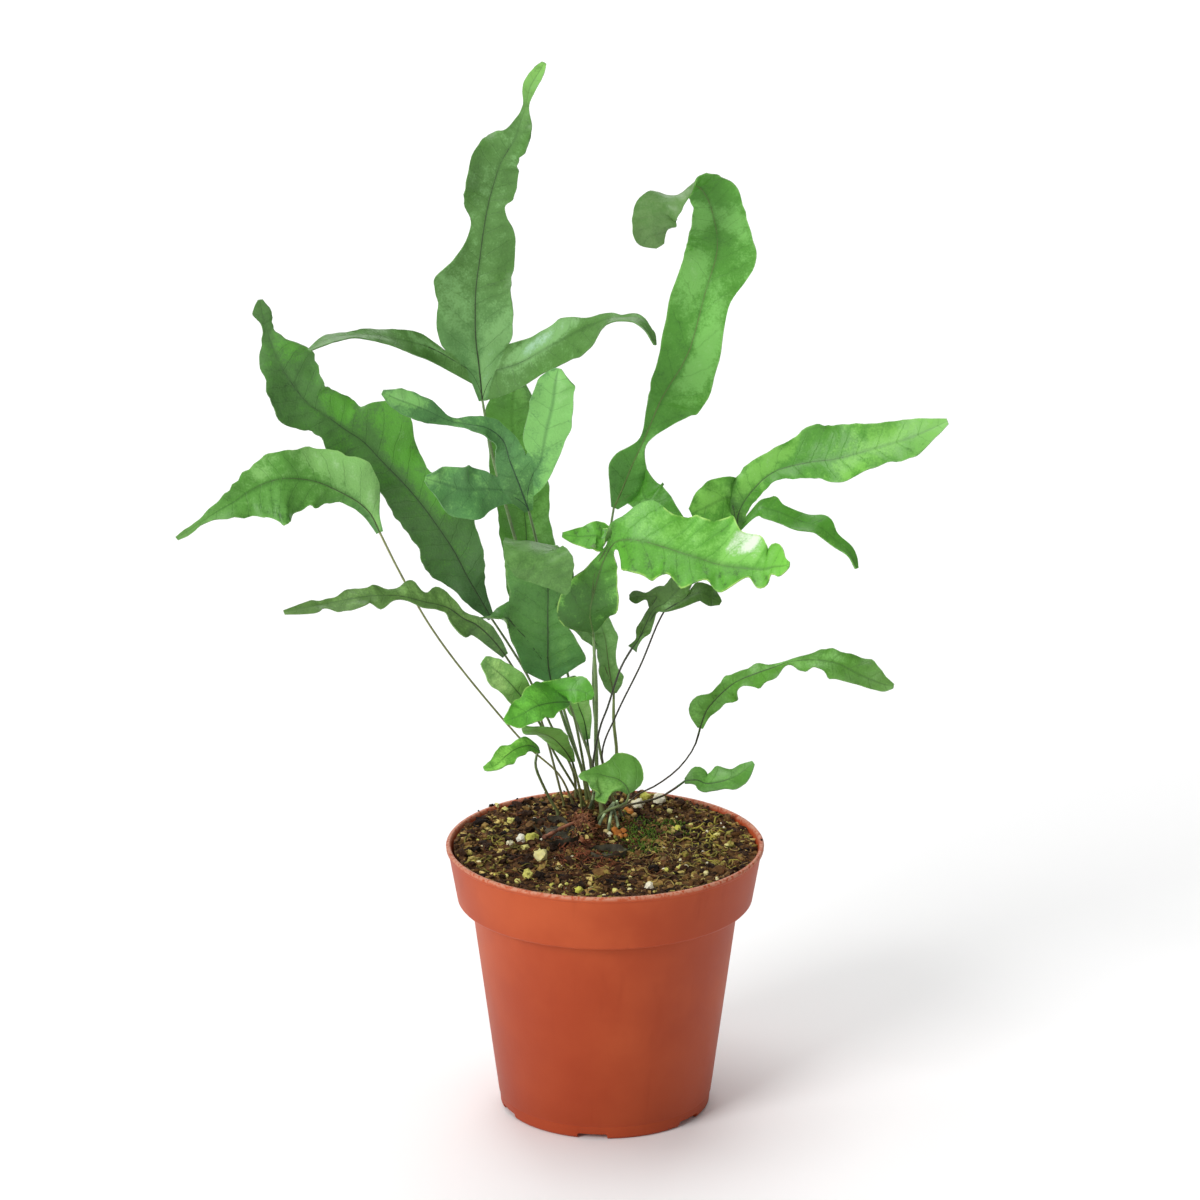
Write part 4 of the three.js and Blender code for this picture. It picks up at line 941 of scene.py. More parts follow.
lowLeftFrond = {
    "node": "frond_low_left", "slot": "leaf_pale",
    "root": (-16, 31),
    "stipe": [(-19, 28, 98), (-23, 21, 110), (-23, 14, 117)],
    "rows": [
        (-22, 9, 121, 1), (-25, 5, 124, 2.6, 3.2), (-29, 1, 124.5, 2.6, 3.4), (-33, -3, 123, 3.2),
        (-36.5, -7, 121, 2.4, 2.6), (-40, -9, 121, 0.7),
    ],
    "face": [(0, -0.7, 0.7)],
    "columns": 2, "waves": 3, "lift": 0.7, "scallop": 0.12,
    "blade": (104, 176, 62), "light": (158, 230, 98), "shade": (80, 144, 44), "start": (88, 150, 58),
    "tip": (120, 192, 74), "margin": (170, 220, 120), "under": (110, 160, 84),
    "stalk": (124, 152, 96), "rib": (74, 110, 48), "stalkRadius": 0.46, "frill": 2.4, "rim": 0.6,
    "patches": [(0.25, 0.5, 5, 0.6), (0.4, -0.4, 5, -0.5), (0.6, 0.4, 5, 0.5), (0.75, -0.5, 5, 0.6)],
}

ovalFrond = {
    "node": "frond_oval", "slot": "leaf_pale",
    "root": (-7, 38),
    "stipe": [(-10, 34, 99), (-17, 24, 115), (-22, 15, 129)],
    "rows": [
        (-24.5, 9, 134.5, 1), (-27, 6, 140, 4), (-32, 1, 148, 4.7), (-36.5, -3, 153.5, 4.2),
        (-40, -6, 157.5, 1.6),
    ],
    "face": [(0, -0.9, 0.4)],
    "columns": 2, "waves": 1.5, "lift": 0.5,
    "blade": (132, 190, 94), "light": (188, 236, 136), "shade": (98, 152, 66), "start": (92, 144, 68),
    "tip": (118, 176, 84), "margin": (160, 204, 120), "under": (110, 150, 84),
    "stalk": (118, 142, 86), "rib": (76, 104, 56), "stalkRadius": 0.42, "rim": 0.5,
    "patches": [(0.4, 0.5, 6, -0.4), (0.6, -0.5, 6, 0.6), (0.8, 0.4, 5, 0.6)],
}

brightFrond = {
    "node": "frond_bright", "slot": "leaf_pale",
    "root": (-4, 36),
    "stipe": [(-6, 34, 100), (-8, 26, 115), (-10, 14, 130)],
    "rows": [
        (-12, 6, 139, 1.2), (-18, 2, 140, 5, 6.6), (-23, -2, 140, 5, 6.8), (-28, -5, 138, 4.5, 5),
        (-33, -8, 137, 1),
    ],
    "face": [(0, -0.8, 0.6)],
    "columns": 2, "waves": 2, "lift": 0.8,
    "lobes": [
        {"side": 1, "span": (0.06, 0.3),
         "rows": [(-12, 4, 144, 4), (-8, 3, 144, 4.5), (-4, 2, 142, 1)],
         "face": [(0, -0.9, 0.4)]},
    ],
    "blade": (90, 162, 54), "light": (118, 200, 70), "shade": (76, 132, 52), "start": (82, 134, 66),
    "tip": (104, 190, 58), "margin": (172, 220, 112), "under": (110, 160, 80),
    "stalk": (120, 146, 88), "rib": (66, 108, 44), "stalkRadius": 0.46, "frill": 1.6, "rim": 0.8,
    "patches": [(0.1, 0.2, 6, -0.4), (0.35, 0.4, 6, 0.5), (0.5, -0.4, 6, -0.4), (0.7, 0.3, 6, 0.6)],
}

droopingFrond = {
    "node": "frond_drooping", "slot": "leaf_deep",
    "root": (-8, 33),
    "stipe": [(-8, 31, 96), (-9, 28, 103)],
    "rows": [
        (-11, 24, 112, 1), (-14, 18, 119, 3, 3.5), (-18, 12, 125, 5), (-23, 6, 129, 4.5),
        (-27, 1, 132, 0.8),
    ],
    "face": [(0, 0.6, 0.8)],
    "columns": 2, "waves": 2, "lift": 0.6,
    # these colours are lighter than the leaf's own: painted light on a frond that hangs in shade
    "blade": (118, 180, 76), "light": (144, 196, 106), "shade": (76, 122, 46), "start": (104, 156, 84),
    "tip": (92, 140, 62), "margin": (126, 170, 92), "under": (142, 206, 102),
    "stalk": (128, 146, 86), "rib": (74, 96, 52), "stalkRadius": 0.44,
    "patches": [(0.3, 0.5, 6, -0.5), (0.5, -0.4, 6, 0.5), (0.75, 0.3, 6, -0.4)],
}

darkFrond = {
    "node": "frond_dark", "slot": "leaf_deep",
    "root": (-4, 38.5),
    "stipe": [(-4, 37, 97), (-5, 37, 107)],
    "rows": [
        (-6, 36, 116, 1), (-7, 34, 123, 2.5), (-9, 31, 130, 4), (-10, 29, 136, 4.5), (-11, 28, 141, 1),
    ],
    "columns": 2, "waves": 2, "lift": 0.8,
    # these colours are much lighter than the leaf's own: painted light on a frond that lies in shade
    "blade": (156, 222, 118), "light": (190, 238, 150), "shade": (106, 160, 70), "start": (96, 150, 80),
    "tip": (78, 128, 56), "margin": (116, 164, 88), "under": (100, 142, 80),
    "stalk": (112, 132, 82), "rib": (60, 90, 46), "stalkRadius": 0.42,
    "patches": [(0.3, 0.5, 6, 0.5), (0.5, -0.4, 6, -0.5), (0.75, 0.3, 6, 0.5)],
}

wavyFrond = {
    "node": "frond_wavy", "slot": "leaf_mid",
    "root": (4, 38),
    "stipe": [(2, 38, 97), (4, 38, 109), (3, 36, 122)],
    "rows": [
        (3, 34, 133, 1), (2, 33, 138, 3, 4.5), (1, 31, 146, 3.5, 2.5), (0, 30, 154, 4, 4.5),
        (-2, 29, 160, 4, 3.5), (-4, 28, 166, 1),
    ],
    "face": [(0, -1, 0.2)],
    "columns": 2, "waves": 3, "lift": 0.8,
    "lobes": [
        {"side": -1, "span": (0.55, 0.8),
         "rows": [(-7, 27, 158, 3), (-12, 25, 160, 0.8)]},
    ],
    "blade": (118, 172, 90), "light": (148, 200, 120), "shade": (84, 128, 62), "start": (88, 124, 64),
    "tip": (92, 138, 72), "margin": (116, 160, 88), "under": (100, 140, 80),
    "stalk": (136, 156, 92), "rib": (92, 106, 62), "stalkRadius": 0.56, "frill": 1.2,
    "patches": [(0.2, 0.5, 7, 0.5), (0.4, -0.5, 7, -0.5), (0.6, 0.4, 6, 0.5), (0.8, -0.3, 6, -0.4)],
}

branchedFrond = {
    "node": "frond_branched", "slot": "leaf_mid",
    "root": (1, 28.5),
    "stipe": [(-4, 23, 108), (-2, 20, 124), (1, 20, 133), (5, 19.5, 146)],
    "rows": [
        (9, 18, 154, 1.5, 2), (11, 17, 157, 0.9), (13, 15, 162, 2.4), (16, 13, 169, 1.5, 1.8),
        (20, 11, 172, 4, 2.8), (25, 9, 178, 5, 3.5), (29, 7, 182, 1),
    ],
    "face": [(0, -1, 0.2), (0, -0.8, 0.5)],
    "columns": 2, "waves": 2, "lift": 0.5,
    "lobes": [
        {"side": 1, "span": (0.6, 0.85),
         "rows": [(31, 6, 177, 3.5, 3), (35, 5, 175.5, 3), (38, 4, 174, 0.8)],
         "face": [(0, -0.8, 0.5)]},
        {"side": -1, "span": (0.5, 0.7),
         "rows": [(14, 12, 174, 1.2), (10, 11, 174, 2.2), (8, 11, 174, 0.8)]},
    ],
    "blade": (76, 114, 48), "light": (116, 162, 90), "shade": (52, 84, 32), "start": (76, 110, 58),
    "tip": (88, 130, 60), "margin": (104, 140, 80), "under": (96, 132, 76),
    "stalk": (62, 66, 50), "rib": (48, 66, 36), "stalkRadius": 0.34, "frill": 1.4,
    "patches": [(0.2, 0.4, 6, 0.4), (0.45, -0.4, 6, -0.5), (0.7, 0.4, 5, 0.5)],
}

rightFrond = {
    "node": "frond_right", "slot": "leaf_mid",
    "root": (3, 33),
    "stipe": [(-1, 33, 111), (4, 30, 127), (12, 25, 146), (19, 20, 165), (28, 14, 180), (38, 9, 190)],
    "rows": [
        (43, 6, 198, 1.2), (44, 6, 205, 3, 2.5), (48, 5, 212, 7, 3), (55, 3, 219, 6, 3),
        (66, 0, 223, 10.5, 5.3), (75, -3, 225, 11.5, 8), (86, -6, 229, 8.5, 6.3), (99, -9, 234, 6.3, 6),
        (110, -12, 240, 1),
    ],
    "face": [(0, -1, 0.2), (0, -1, 0.3), (0, -0.9, 0.5), (0, -0.9, 0.5)],
    "phase": 2,
    "lobes": [
        {"side": -1, "span": (0.08, 0.25),
         "tone": 0.1, "patches": [(0.6, 0.3, 5, 0.8)],
         "rows": [(39, 2, 210.5, 7), (33.5, -1, 208.5, 6.5), (28, -3, 206.5, 2)],
         "face": [(0, -1, 0.3)]},
        {"side": 1, "span": (0.02, 0.12),
         "tone": -1.8, "patches": [(0.3, -0.5, 6, 0.7), (0.7, 0.4, 6, -0.5)],
         "rows": [(50, 5, 206, 3.5, 3.8), (53.5, 4, 206, 6, 5), (57.5, 3, 205, 3.2, 4.2),
                  (64, 2, 202.5, 3.6, 4.6), (70, 0, 201, 4.8, 3.3), (74.5, -1, 197.5, 2.6),
                  (79.5, -3, 193.5, 2.6, 2.2), (82, -5, 188.5, 0.8)],
         "face": [(0, -0.8, 0.5), (0, -0.6, 0.8), (0, -0.6, 0.8), (0.7, -0.5, 0.6)]},
    ],
    "blade": (80, 146, 46), "light": (120, 186, 76), "shade": (64, 118, 38), "start": (82, 132, 58),
    "tip": (132, 194, 96), "margin": (150, 204, 110), "under": (92, 134, 70),
    "stalk": (64, 64, 48), "rib": (66, 96, 46), "stalkRadius": 0.3, "frill": 1.0, "bands": 0.4,
    "patches": [(0.15, 0.4, 8, -0.6), (0.25, -0.5, 8, 0.5), (0.38, -0.6, 8, 0.9), (0.45, 0.5, 8, -0.6),
                (0.58, -0.4, 7, -0.3), (0.68, 0.5, 8, 0.5), (0.8, -0.3, 7, 0.8), (0.9, 0.4, 5, -0.2)],
}

trailingFrond = {
    "node": "frond_trailing", "slot": "leaf_mid",
    "root": (4.5, 25.5),
    "stipe": [(6, 27.5, 94), (11, 30, 98), (18, 31, 101.5), (25, 29, 108), (30, 27, 116)],
    "rows": [
        (32, 24, 124, 1), (34, 22.5, 130.5, 6.5, 2.2), (37.5, 20, 136, 2.4, 3.6),
        (41.5, 18, 140.5, 3.8, 4.8), (45, 16, 143.5, 2.4), (50.5, 14, 146.5, 3.2, 5),
        (55.5, 12, 149, 1.2, 4.2), (60.5, 10, 151.5, 0.8), (66, 8, 153, 1.6, 4.6),
        (71, 6, 153.5, 4.2, 3.4), (77, 4, 153, 4.2, 6), (84, 1, 150, 7, 4), (91, -2, 148, 3.5, 3),
        (95, -3, 147.5, 0.8),
    ],
    "face": [(0.1, -1, 0.2), (0, -0.8, 0.6), (0, -0.7, 0.7), (0, -0.7, 0.7)],
    "waves": 7, "lift": 0.8,
    "blade": (84, 142, 46), "light": (118, 180, 82), "shade": (56, 90, 34), "start": (86, 136, 58),
    "tip": (90, 132, 58), "margin": (124, 170, 90), "under": (100, 140, 76),
    "stalk": (56, 56, 44), "rib": (58, 76, 40), "stalkRadius": 0.28, "frill": 1.3,
    "patches": [(0.12, 0.0, 14, -1.6), (0.34, 0.1, 9, -1.2), (0.5, -0.4, 6, 0.5), (0.62, 0.4, 8, 0.7),
                (0.75, -0.4, 7, 0.5), (0.85, 0.0, 8, -0.3)],
}

rimFrond = {
    "node": "frond_rim", "slot": "leaf_pale",
    "root": (1, 23),
    "stipe": [(2.5, 21.5, 94.5), (7, 20.5, 97.5), (13, 21.5, 98.5), (20, 24, 100)],
    "rows": [
        (27, 27, 104, 1), (31, 26.5, 104.5, 4.5, 2), (34, 26, 103.5, 3.2), (38, 25.5, 104, 5.5, 3.2),
        (43, 24.5, 106, 3.6, 4.6), (47, 23.5, 109, 2.4, 4), (50, 23, 112, 0.8),
    ],
    "face": [(0, -0.7, 0.7)],
    "columns": 2, "waves": 2, "lift": 0.8,
    "blade": (82, 138, 50), "light": (106, 166, 70), "shade": (60, 102, 36), "start": (80, 124, 52),
    "tip": (98, 158, 70), "margin": (130, 182, 98), "under": (98, 140, 76),
    "stalk": (66, 66, 50), "rib": (62, 88, 44), "stalkRadius": 0.36, "frill": 1.1,
    "patches": [(0.2, 0.4, 6, -0.5), (0.4, -0.4, 6, 0.5), (0.6, 0.4, 6, -0.4), (0.8, -0.3, 6, 0.5)],
}

broadLowFrond = {
    "node": "frond_broad_low", "slot": "leaf_mid",
    "root": (-2, 25),
    "stipe": [(-1, 22, 94), (2.5, 16.5, 98), (7, 10.5, 102)],
    "rows": [
        (8, 9, 106, 1, 1.2), (7.2, 9.5, 108, 3, 7.5), (5.5, 10.5, 109.5, 7, 9), (3.5, 11, 110.5, 10.5, 9),
        (0.5, 11.5, 111, 10.5, 6.5), (-2.5, 11.5, 112, 9, 2.8), (-5, 11, 112, 7, 2),
        (-7, 10.5, 112, 4.5, 1.2), (-8.5, 10, 111, 0.8),
    ],
    "face": [(0, -0.7, 0.7)],
    "waves": 1.5, "lift": 0.8,
    "blade": (98, 154, 62), "light": (134, 190, 92), "shade": (82, 134, 48), "start": (88, 134, 60),
    "tip": (112, 168, 78), "margin": (166, 204, 104), "under": (106, 148, 80),
    "stalk": (130, 162, 104), "rib": (76, 106, 52), "stalkRadius": 0.44, "frill": 0.9, "rim": 0.6,
    "patches": [(0.3, -0.4, 5, 0.5), (0.35, 0.5, 6, -0.6), (0.6, 0.5, 5, -0.3), (0.7, -0.5, 5, 0.5)],
}

for frond in (tallFrond, curledFrond, frontFrond, noddingFrond, strapFrond, blueFrond, broadLeftFrond,
              tornLeftFrond, narrowLeftFrond, lowLeftFrond, ovalFrond, brightFrond, droopingFrond, darkFrond,
              wavyFrond, branchedFrond, rightFrond, trailingFrond, rimFrond, broadLowFrond):
    growFrond(frond)
print("fronds grown")


# crumbs, fibres and stones that lie on the soil
crumbs = {
    "seed": 11, "count": 5200, "big": 190,
    "sizes": (0.3, 1.15), "bigSizes": (1.0, 1.9),
    "tones": [(0.0, (24, 14, 8)), (0.34, (62, 37, 20)), (0.56, (110, 78, 42)), (0.7, (156, 122, 68)),
              (0.84, (132, 128, 50)), (1.0, (214, 190, 116))],
    # the bits on the creeping stem: x and height of its middle, its radius, and from y to y
    "stemBits": 110, "stemMiddle": (-7.3, 90), "stemRadius": 3.1, "stemReach": (2, 31),
    # the bits on the pot's rim: x, y, height and size
    "rimBits": [(-38.6, 35.6, 92.3, 1.1), (-37.4, 36.9, 92.2, 0.8), (52.2, 1.5, 92.2, 0.8),
                (-20.4, 48.4, 92.2, 0.5), (-43.0, 30.3, 92.2, 0.5), (-14.0, 50.2, 92.3, 0.7),
                (-5.5, 51.0, 92.2, 0.5), (-30.0, 42.4, 92.3, 0.6), (12.0, 50.4, 92.2, 0.4)],
}
perlite = {
    "seed": 4,
    # x and y on the soil in mm, size across in mm, and how yellow from 0 to 1
    "stones": [
        (-28.1, 7.5, 3.4, 0.0), (-24.5, 8.4, 4.6, 0.9), (-26.7, 0.7, 2.8, 0.6), (-31.7, 2.6, 2.6, 0.2),
        (-21.5, -10.9, 5.4, 0.45), (-25.3, -27.9, 4.0, 0.8), (-28.5, -32.6, 2.2, 0.7),
        (-10.6, -9.0, 2.0, 0.2), (-8.5, -40.0, 3.0, 1.0), (-4.6, -37.2, 1.8, 0.5), (-36.8, 36.3, 1.9, 0.5),
        (-34.0, 32.3, 2.1, 0.6), (-26.6, 37.3, 1.7, 0.3), (-31.8, 24.3, 2.6, 0.7), (-24.6, 20.3, 2.8, 1.0),
        (-41.6, -15.6, 1.6, 0.4), (-44.7, 2.6, 1.2, 0.3), (-32.2, -27.0, 1.6, 0.6), (18.6, 40.5, 4.6, 0.1),
        (13.8, 42.5, 3.8, 0.9), (11.3, 37.3, 4.4, 0.15), (9.0, 41.0, 3.2, 0.3), (24.6, 17.3, 2.9, 1.0),
        (29.1, 21.3, 1.8, 0.7), (37.6, 12.4, 2.2, 0.6), (40.7, 0.7, 1.8, 0.5), (24.7, -18.5, 2.6, 0.8),
        (20.0, -22.3, 2.0, 0.9), (14.3, -37.2, 3.2, 0.1), (33.1, -26.0, 1.9, 0.4), (1.4, 13.4, 2.2, 0.2),
        (3.2, -40.5, 2.0, 0.7), (26.5, -19.0, 1.8, 0.2), (22.0, 33.0, 1.9, 0.5), (-14.5, -35.5, 1.8, 0.6),
        (8.0, -39.0, 1.7, 0.4),
    ],
    "specks": 90, "reach": 48.5,
    "white": (246, 240, 222), "middle": (228, 218, 142), "yellow": (204, 204, 84),
}
fibres = {
    "seed": 8,
    "kinds": [  # name, how many, length in mm, thickness in mm, colour, middle and spread on the soil
        ("paleFibres", 130, (3, 9), (0.16, 0.3), (182, 158, 88), (16, -6), (30, 30)),
        ("brownFibres", 190, (4, 12), (0.14, 0.34), (112, 66, 36), (-8, -6), (34, 30)),
        ("redFibres", 150, (3, 8), (0.16, 0.32), (158, 88, 58), (-8, 2), (8, 18)),
        ("yellowRoots", 40, (4, 9), (0.26, 0.46), (176, 164, 70), (36, 8), (9, 24)),
        ("oliveRoots", 26, (4, 8), (0.26, 0.44), (150, 138, 62), (-36, -4), (8, 24)),
    ],
    "twig": [(-20.6, 5.0, 91.6), (-17.0, 9.0, 92.2), (-12.8, 14.3, 92.6), (-7.4, 19.3, 92.8),
             (-3.5, 23.5, 91.8)],
    "twigRadius": 0.75, "twigColour": (186, 122, 96),
}
moss = {
    "seed": 3, "count": 1100, "height": (0.4, 1.4), "dark": (52, 80, 20), "light": (102, 126, 44),
    # middle x and y, and spread x and y in mm
    "beds": [(12, 12, 7, 13), (9, -1, 9, 6), (22, 20, 6, 7)],
}


def makeBits(name, tones, roughness=0.85, relief=0.6):
    board = Board(name, {"Specular IOR Level": 0.2})
    where = board.place()
    tone = board.add("ShaderNodeAttribute", {"attribute_name": "bitTone"}, output="Fac")
    fine = board.cloud(where, 900, 4, 0.7)
    colour = board.ramp(tone + (fine - 0.5) * 0.5, tones)
    return board.finish(colour, roughness - fine * 0.1, (fine, relief, 0.0006))


def makeMottled(name, specular, dark, light, cloud, spread, roughness, relief=None):
    # two colours in clouds, which also roughen and raise it
    board = Board(name, {"Specular IOR Level": specular})
    drift = board.cloud(board.place(), *cloud)
    colour = board.blend(board.ease(drift, *spread), dark, light)
    return board.finish(colour, roughness[0] + drift * roughness[1], (drift, *relief) if relief else None)


def makeFibre(name, colour):
    return makeMottled(name, 0.25, [c * 0.5 for c in colour], colour, (260, 3), (0.35, 0.65),
                       (0.7, 0.15), (0.4, 0.0003))


def shapeBit(name, fineness, rough, seed):
    # one grain, knocked out of round; its copies are joined into the piece
    bpy.ops.mesh.primitive_ico_sphere_add(subdivisions=fineness, radius=1)
    bit = nameIt(name)
    openUp()
    bpy.ops.transform.vertex_random(offset=rough, uniform=0, normal=0.6, seed=seed)
    closeUp()
    bit.data.attributes.new("bitTone", "FLOAT", "POINT")
    return bit


def gatherBits(name, models, spots, material):
    heap = bmesh.new()
    for model, matrix, tone in spots:
        bit = models[model].data.copy()
        bit.transform(matrix)
        bit.attributes["bitTone"].data.foreach_set("value", [tone] * len(bit.vertices))
        heap.from_mesh(bit)
        bpy.data.meshes.remove(bit)
    data = bpy.data.meshes.new(name)
    heap.to_mesh(data)
    heap.free()
    piece = bpy.data.objects.new(name, data)
    bpy.context.collection.objects.link(piece)
    handOver(piece, material)
    for model in models:
        bpy.data.objects.remove(model)


def setDown(luck, x, y, z, sizes):
    # how a grain lies: turned any way round and leant over
    turn = Matrix.Rotation(luck.uniform(0, math.tau), 4, "Z")
    turn = turn @ Matrix.Rotation(luck.uniform(-1.2, 1.2), 4, "X")
    return Matrix.Translation(Vector((x, y, z)) * mm) @ turn @ Matrix.Diagonal((*(Vector(sizes) * mm), 1))


def anywhere(luck, reach):
    # a place on the round soil
    radius, angle = reach * math.sqrt(luck.random()), luck.uniform(0, math.tau)
    return radius * math.cos(angle), radius * math.sin(angle)


def scatterCrumbs(look):
    luck = random.Random(look["seed"])
    models = [shapeBit("grain", 1, 0.45, k) for k in range(5)]
    models += [shapeBit("clod", 2, 0.34, 9 + k) for k in range(3)]
    spots = []
    for k in range(look["count"] + look["big"]):
        big = k >= look["count"]
        low, high = look["bigSizes"] if big else look["sizes"]
        size = low + (high - low) * luck.random() ** 2.4
        x, y = anywhere(luck, soil["edge"] + 0.3 - size)
        sizes = (size * luck.uniform(0.9, 1.9), size * luck.uniform(0.7, 1.1), size * luck.uniform(0.5, 0.9))
        patch = noise.noise(Vector((x * 0.12, y * 0.12, 5))) * 0.35
        spots.append((luck.randrange(5, 8) if big else luck.randrange(5),
                      setDown(luck, x, y, soilTop(x, y) + size * 0.25, sizes),
                      min(max(luck.betavariate(1.2, 1.6) + patch, 0), 1)))
    middle, height = look["stemMiddle"]
    for _ in range(look["stemBits"]):
        x, y, size = luck.gauss(0, 1.8), luck.uniform(*look["stemReach"]), luck.uniform(0.3, 0.9)
        rise = math.sqrt(max(look["stemRadius"] ** 2 - x ** 2, 0))
        spots.append((luck.randrange(5), setDown(luck, x + middle, y, height + rise,
                                                 (size * 1.4, size, size * 0.7)), luck.random()))
    for x, y, z, size in look["rimBits"]:
        spots.append((luck.randrange(5), setDown(luck, x, y, z, (size, size * 0.6, size * 0.5)), 0.1))
    gatherBits("soilCrumbs", models, spots, makeBits("crumbBark", look["tones"]))


def scatterPerlite(look):
    luck = random.Random(look["seed"])
    models = [shapeBit("stone", 2, 0.3, 20 + k) for k in range(4)]
    spots = []
    for x, y, across, yellow in look["stones"]:
        size = across / 2
        spots.append((luck.randrange(4), setDown(luck, x, y, soilTop(x, y) + size * 0.5,
                                                 (size * 1.1, size * 0.9, size * 0.85)), yellow))
    for _ in range(look["specks"]):
        x, y = anywhere(luck, look["reach"])
        size = luck.uniform(0.25, 0.6)
        spots.append((luck.randrange(4), setDown(luck, x, y, soilTop(x, y) + size * 0.9,
                                                 (size * 1.2, size, size * 0.8)), luck.random()))
    tones = [(0.0, look["white"]), (0.5, look["middle"]), (1.0, look["yellow"])]
    gatherBits("perlite", models, spots, makeBits("perliteCrumb", tones, 0.7, 0.9))


def layFibres(look):
    luck = random.Random(look["seed"])
    for name, count, lengths, thickness, colour, middle, spread in look["kinds"]:
        lines = []
        while len(lines) < count:
            x, y = luck.gauss(middle[0], spread[0] / 1.6), luck.gauss(middle[1], spread[1] / 1.6)
            length, heading, bend = luck.uniform(*lengths), luck.uniform(0, math.tau), luck.uniform(-0.9, 0.9)
            points = []
            for k in range(7):
                points.append((x, y, soilTop(x, y) + 0.55 + 0.9 * math.sin(math.pi * k / 6) * luck.random()))
                x += length / 6 * math.cos(heading)
                y += length / 6 * math.sin(heading)
                heading += bend + luck.uniform(-0.3, 0.3)
            thick = luck.uniform(*thickness)
            if max(math.hypot(p[0], p[1]) for p in points) < soil["edge"] - 0.3:
                lines.append((points, [thick * (1 - 0.1 * k) for k in range(7)]))
        strands = drawStrands(name, lines, 0)
        handOver(strands, makeFibre(name + "Bark", colour))
    twig = drawStrands("pinkTwig", [([curveAt(look["twig"], k / 16) for k in range(17)],
                                     [look["twigRadius"] - 0.02 * k + 0.12 * math.sin(k * 2.3)
                                      for k in range(17)])], 2)
    handOver(twig, makeFibre("twigBark", look["twigColour"]))


def plantMoss(look):
    luck = random.Random(look["seed"])
    lines = []
    for k in range(look["count"]):
        middleX, middleY, wide, deep = look["beds"][0 if k % 10 < 6 else 1 + k % 2]
        x, y = luck.gauss(middleX, wide / 1.7), luck.gauss(middleY, deep / 1.7)
        tall = luck.uniform(*look["height"])
        leanX, leanY = luck.uniform(-0.7, 0.7) * tall, luck.uniform(-0.7, 0.7) * tall
        z = soilTop(x, y) + 0.1
        lines.append(([(x, y, z), (x + leanX * 0.5, y + leanY * 0.5, z + tall * 0.6),
                       (x + leanX, y + leanY, z + tall)], [0.2, 0.24, 0.05]))
    tufts = drawStrands("mossTufts", lines, 0)
    handOver(tufts, makeMottled("mossGreen", 0.2, look["dark"], look["light"], (380, 3), (0.38, 0.62),
                                (0.7, 0.2)))


scatterCrumbs(crumbs)
scatterPerlite(perlite)
layFibres(fibres)
plantMoss(moss)
print("soil dressed")


# the creeping stem, with fine scales like hairs
rhizome = {
    "rows": [(-8, 29, 90), (-7.5, 21, 90.5), (-7, 13, 90), (-7.5, 5, 89)],
    "radius": 3.2, "slices": 48, "sides": 28, "bumps": 0.45,
    "seed": 6, "scales": 460, "scaleLength": (0.8, 2.4),
    "bark": (150, 92, 60), "hair": (214, 154, 116), "dark": (84, 50, 32),
}


def growRhizome(size):
    # a tube drawn out slice by slice, then roughened
    slices = size["slices"]

    def middleAt(k):
        return curveAt(size["rows"], k / slices)

    def radiusAt(k):
        fraction = k / slices
        return size["radius"] * math.sqrt(max(1 - abs(2 * fraction - 1) ** 4, 0.02))

    start = middleAt(0)
    bpy.ops.mesh.primitive_circle_add(vertices=size["sides"], radius=radiusAt(0) * mm, fill_type="NGON",
                                      location=start * mm, rotation=(math.radians(90), 0, 0))
    stem = nameIt("creepingStem")
    bpy.ops.object.transform_apply(location=True, rotation=True)
    openUp()
    for k in range(1, slices + 1):
        move = middleAt(k) - middleAt(k - 1)
        grow = radiusAt(k) / radiusAt(k - 1)
        bpy.ops.mesh.extrude_region_move(TRANSFORM_OT_translate={"value": move * mm})
        bpy.ops.transform.resize(value=(grow, 1, grow), center_override=middleAt(k) * mm)
    closeUp()
    weldUp(stem)
    for vertex in stem.data.vertices:
        rough = noise.fractal(vertex.co * 420, 1.0, 2.0, 3)
        vertex.co += vertex.normal * rough * size["bumps"] * mm

    luck = random.Random(size["seed"])
    lines = []
    for _ in range(size["scales"]):
        k = luck.uniform(1, slices - 1)
        angle = luck.uniform(-0.35 * math.pi, 1.35 * math.pi)
        out = Vector((math.cos(angle), 0, math.sin(angle)))
        root = curveAt(size["rows"], k / slices) + out * radiusAt(k) * 0.95
        along = Vector((luck.uniform(-0.5, 0.5), luck.uniform(-1, 0.6), luck.uniform(-0.2, 0.5)))
        length = luck.uniform(*size["scaleLength"])
        way = (out * 0.9 + along).normalized() * length
        sag = Vector((0, 0, -0.15 * length))
        lines.append(([root, root + way * 0.5, root + way + sag], [0.2, 0.15, 0.05]))
    hairs = drawStrands("hairs", lines, 0)
    pickUp(stem, hairs)
    bpy.ops.object.join()
    smoothOff(stem, 60)
    board = Board("rhizomeBark", {"Specular IOR Level": 0.25})
    where = board.place()
    drift, fine = board.cloud(where, 300, 4), board.cloud(where, 1100, 3)
    colour = board.blend(board.ease(drift, 0.35, 0.62), size["dark"], size["bark"])
    colour = board.blend(board.ease(fine, 0.48, 0.66) * 0.8, colour, size["hair"])
    bark = board.finish(colour, 0.65 + fine * 0.25, (fine, 0.6, 0.0005))
    handOver(stem, bark, "rhizome")


growRhizome(rhizome)
print("rhizome grown")


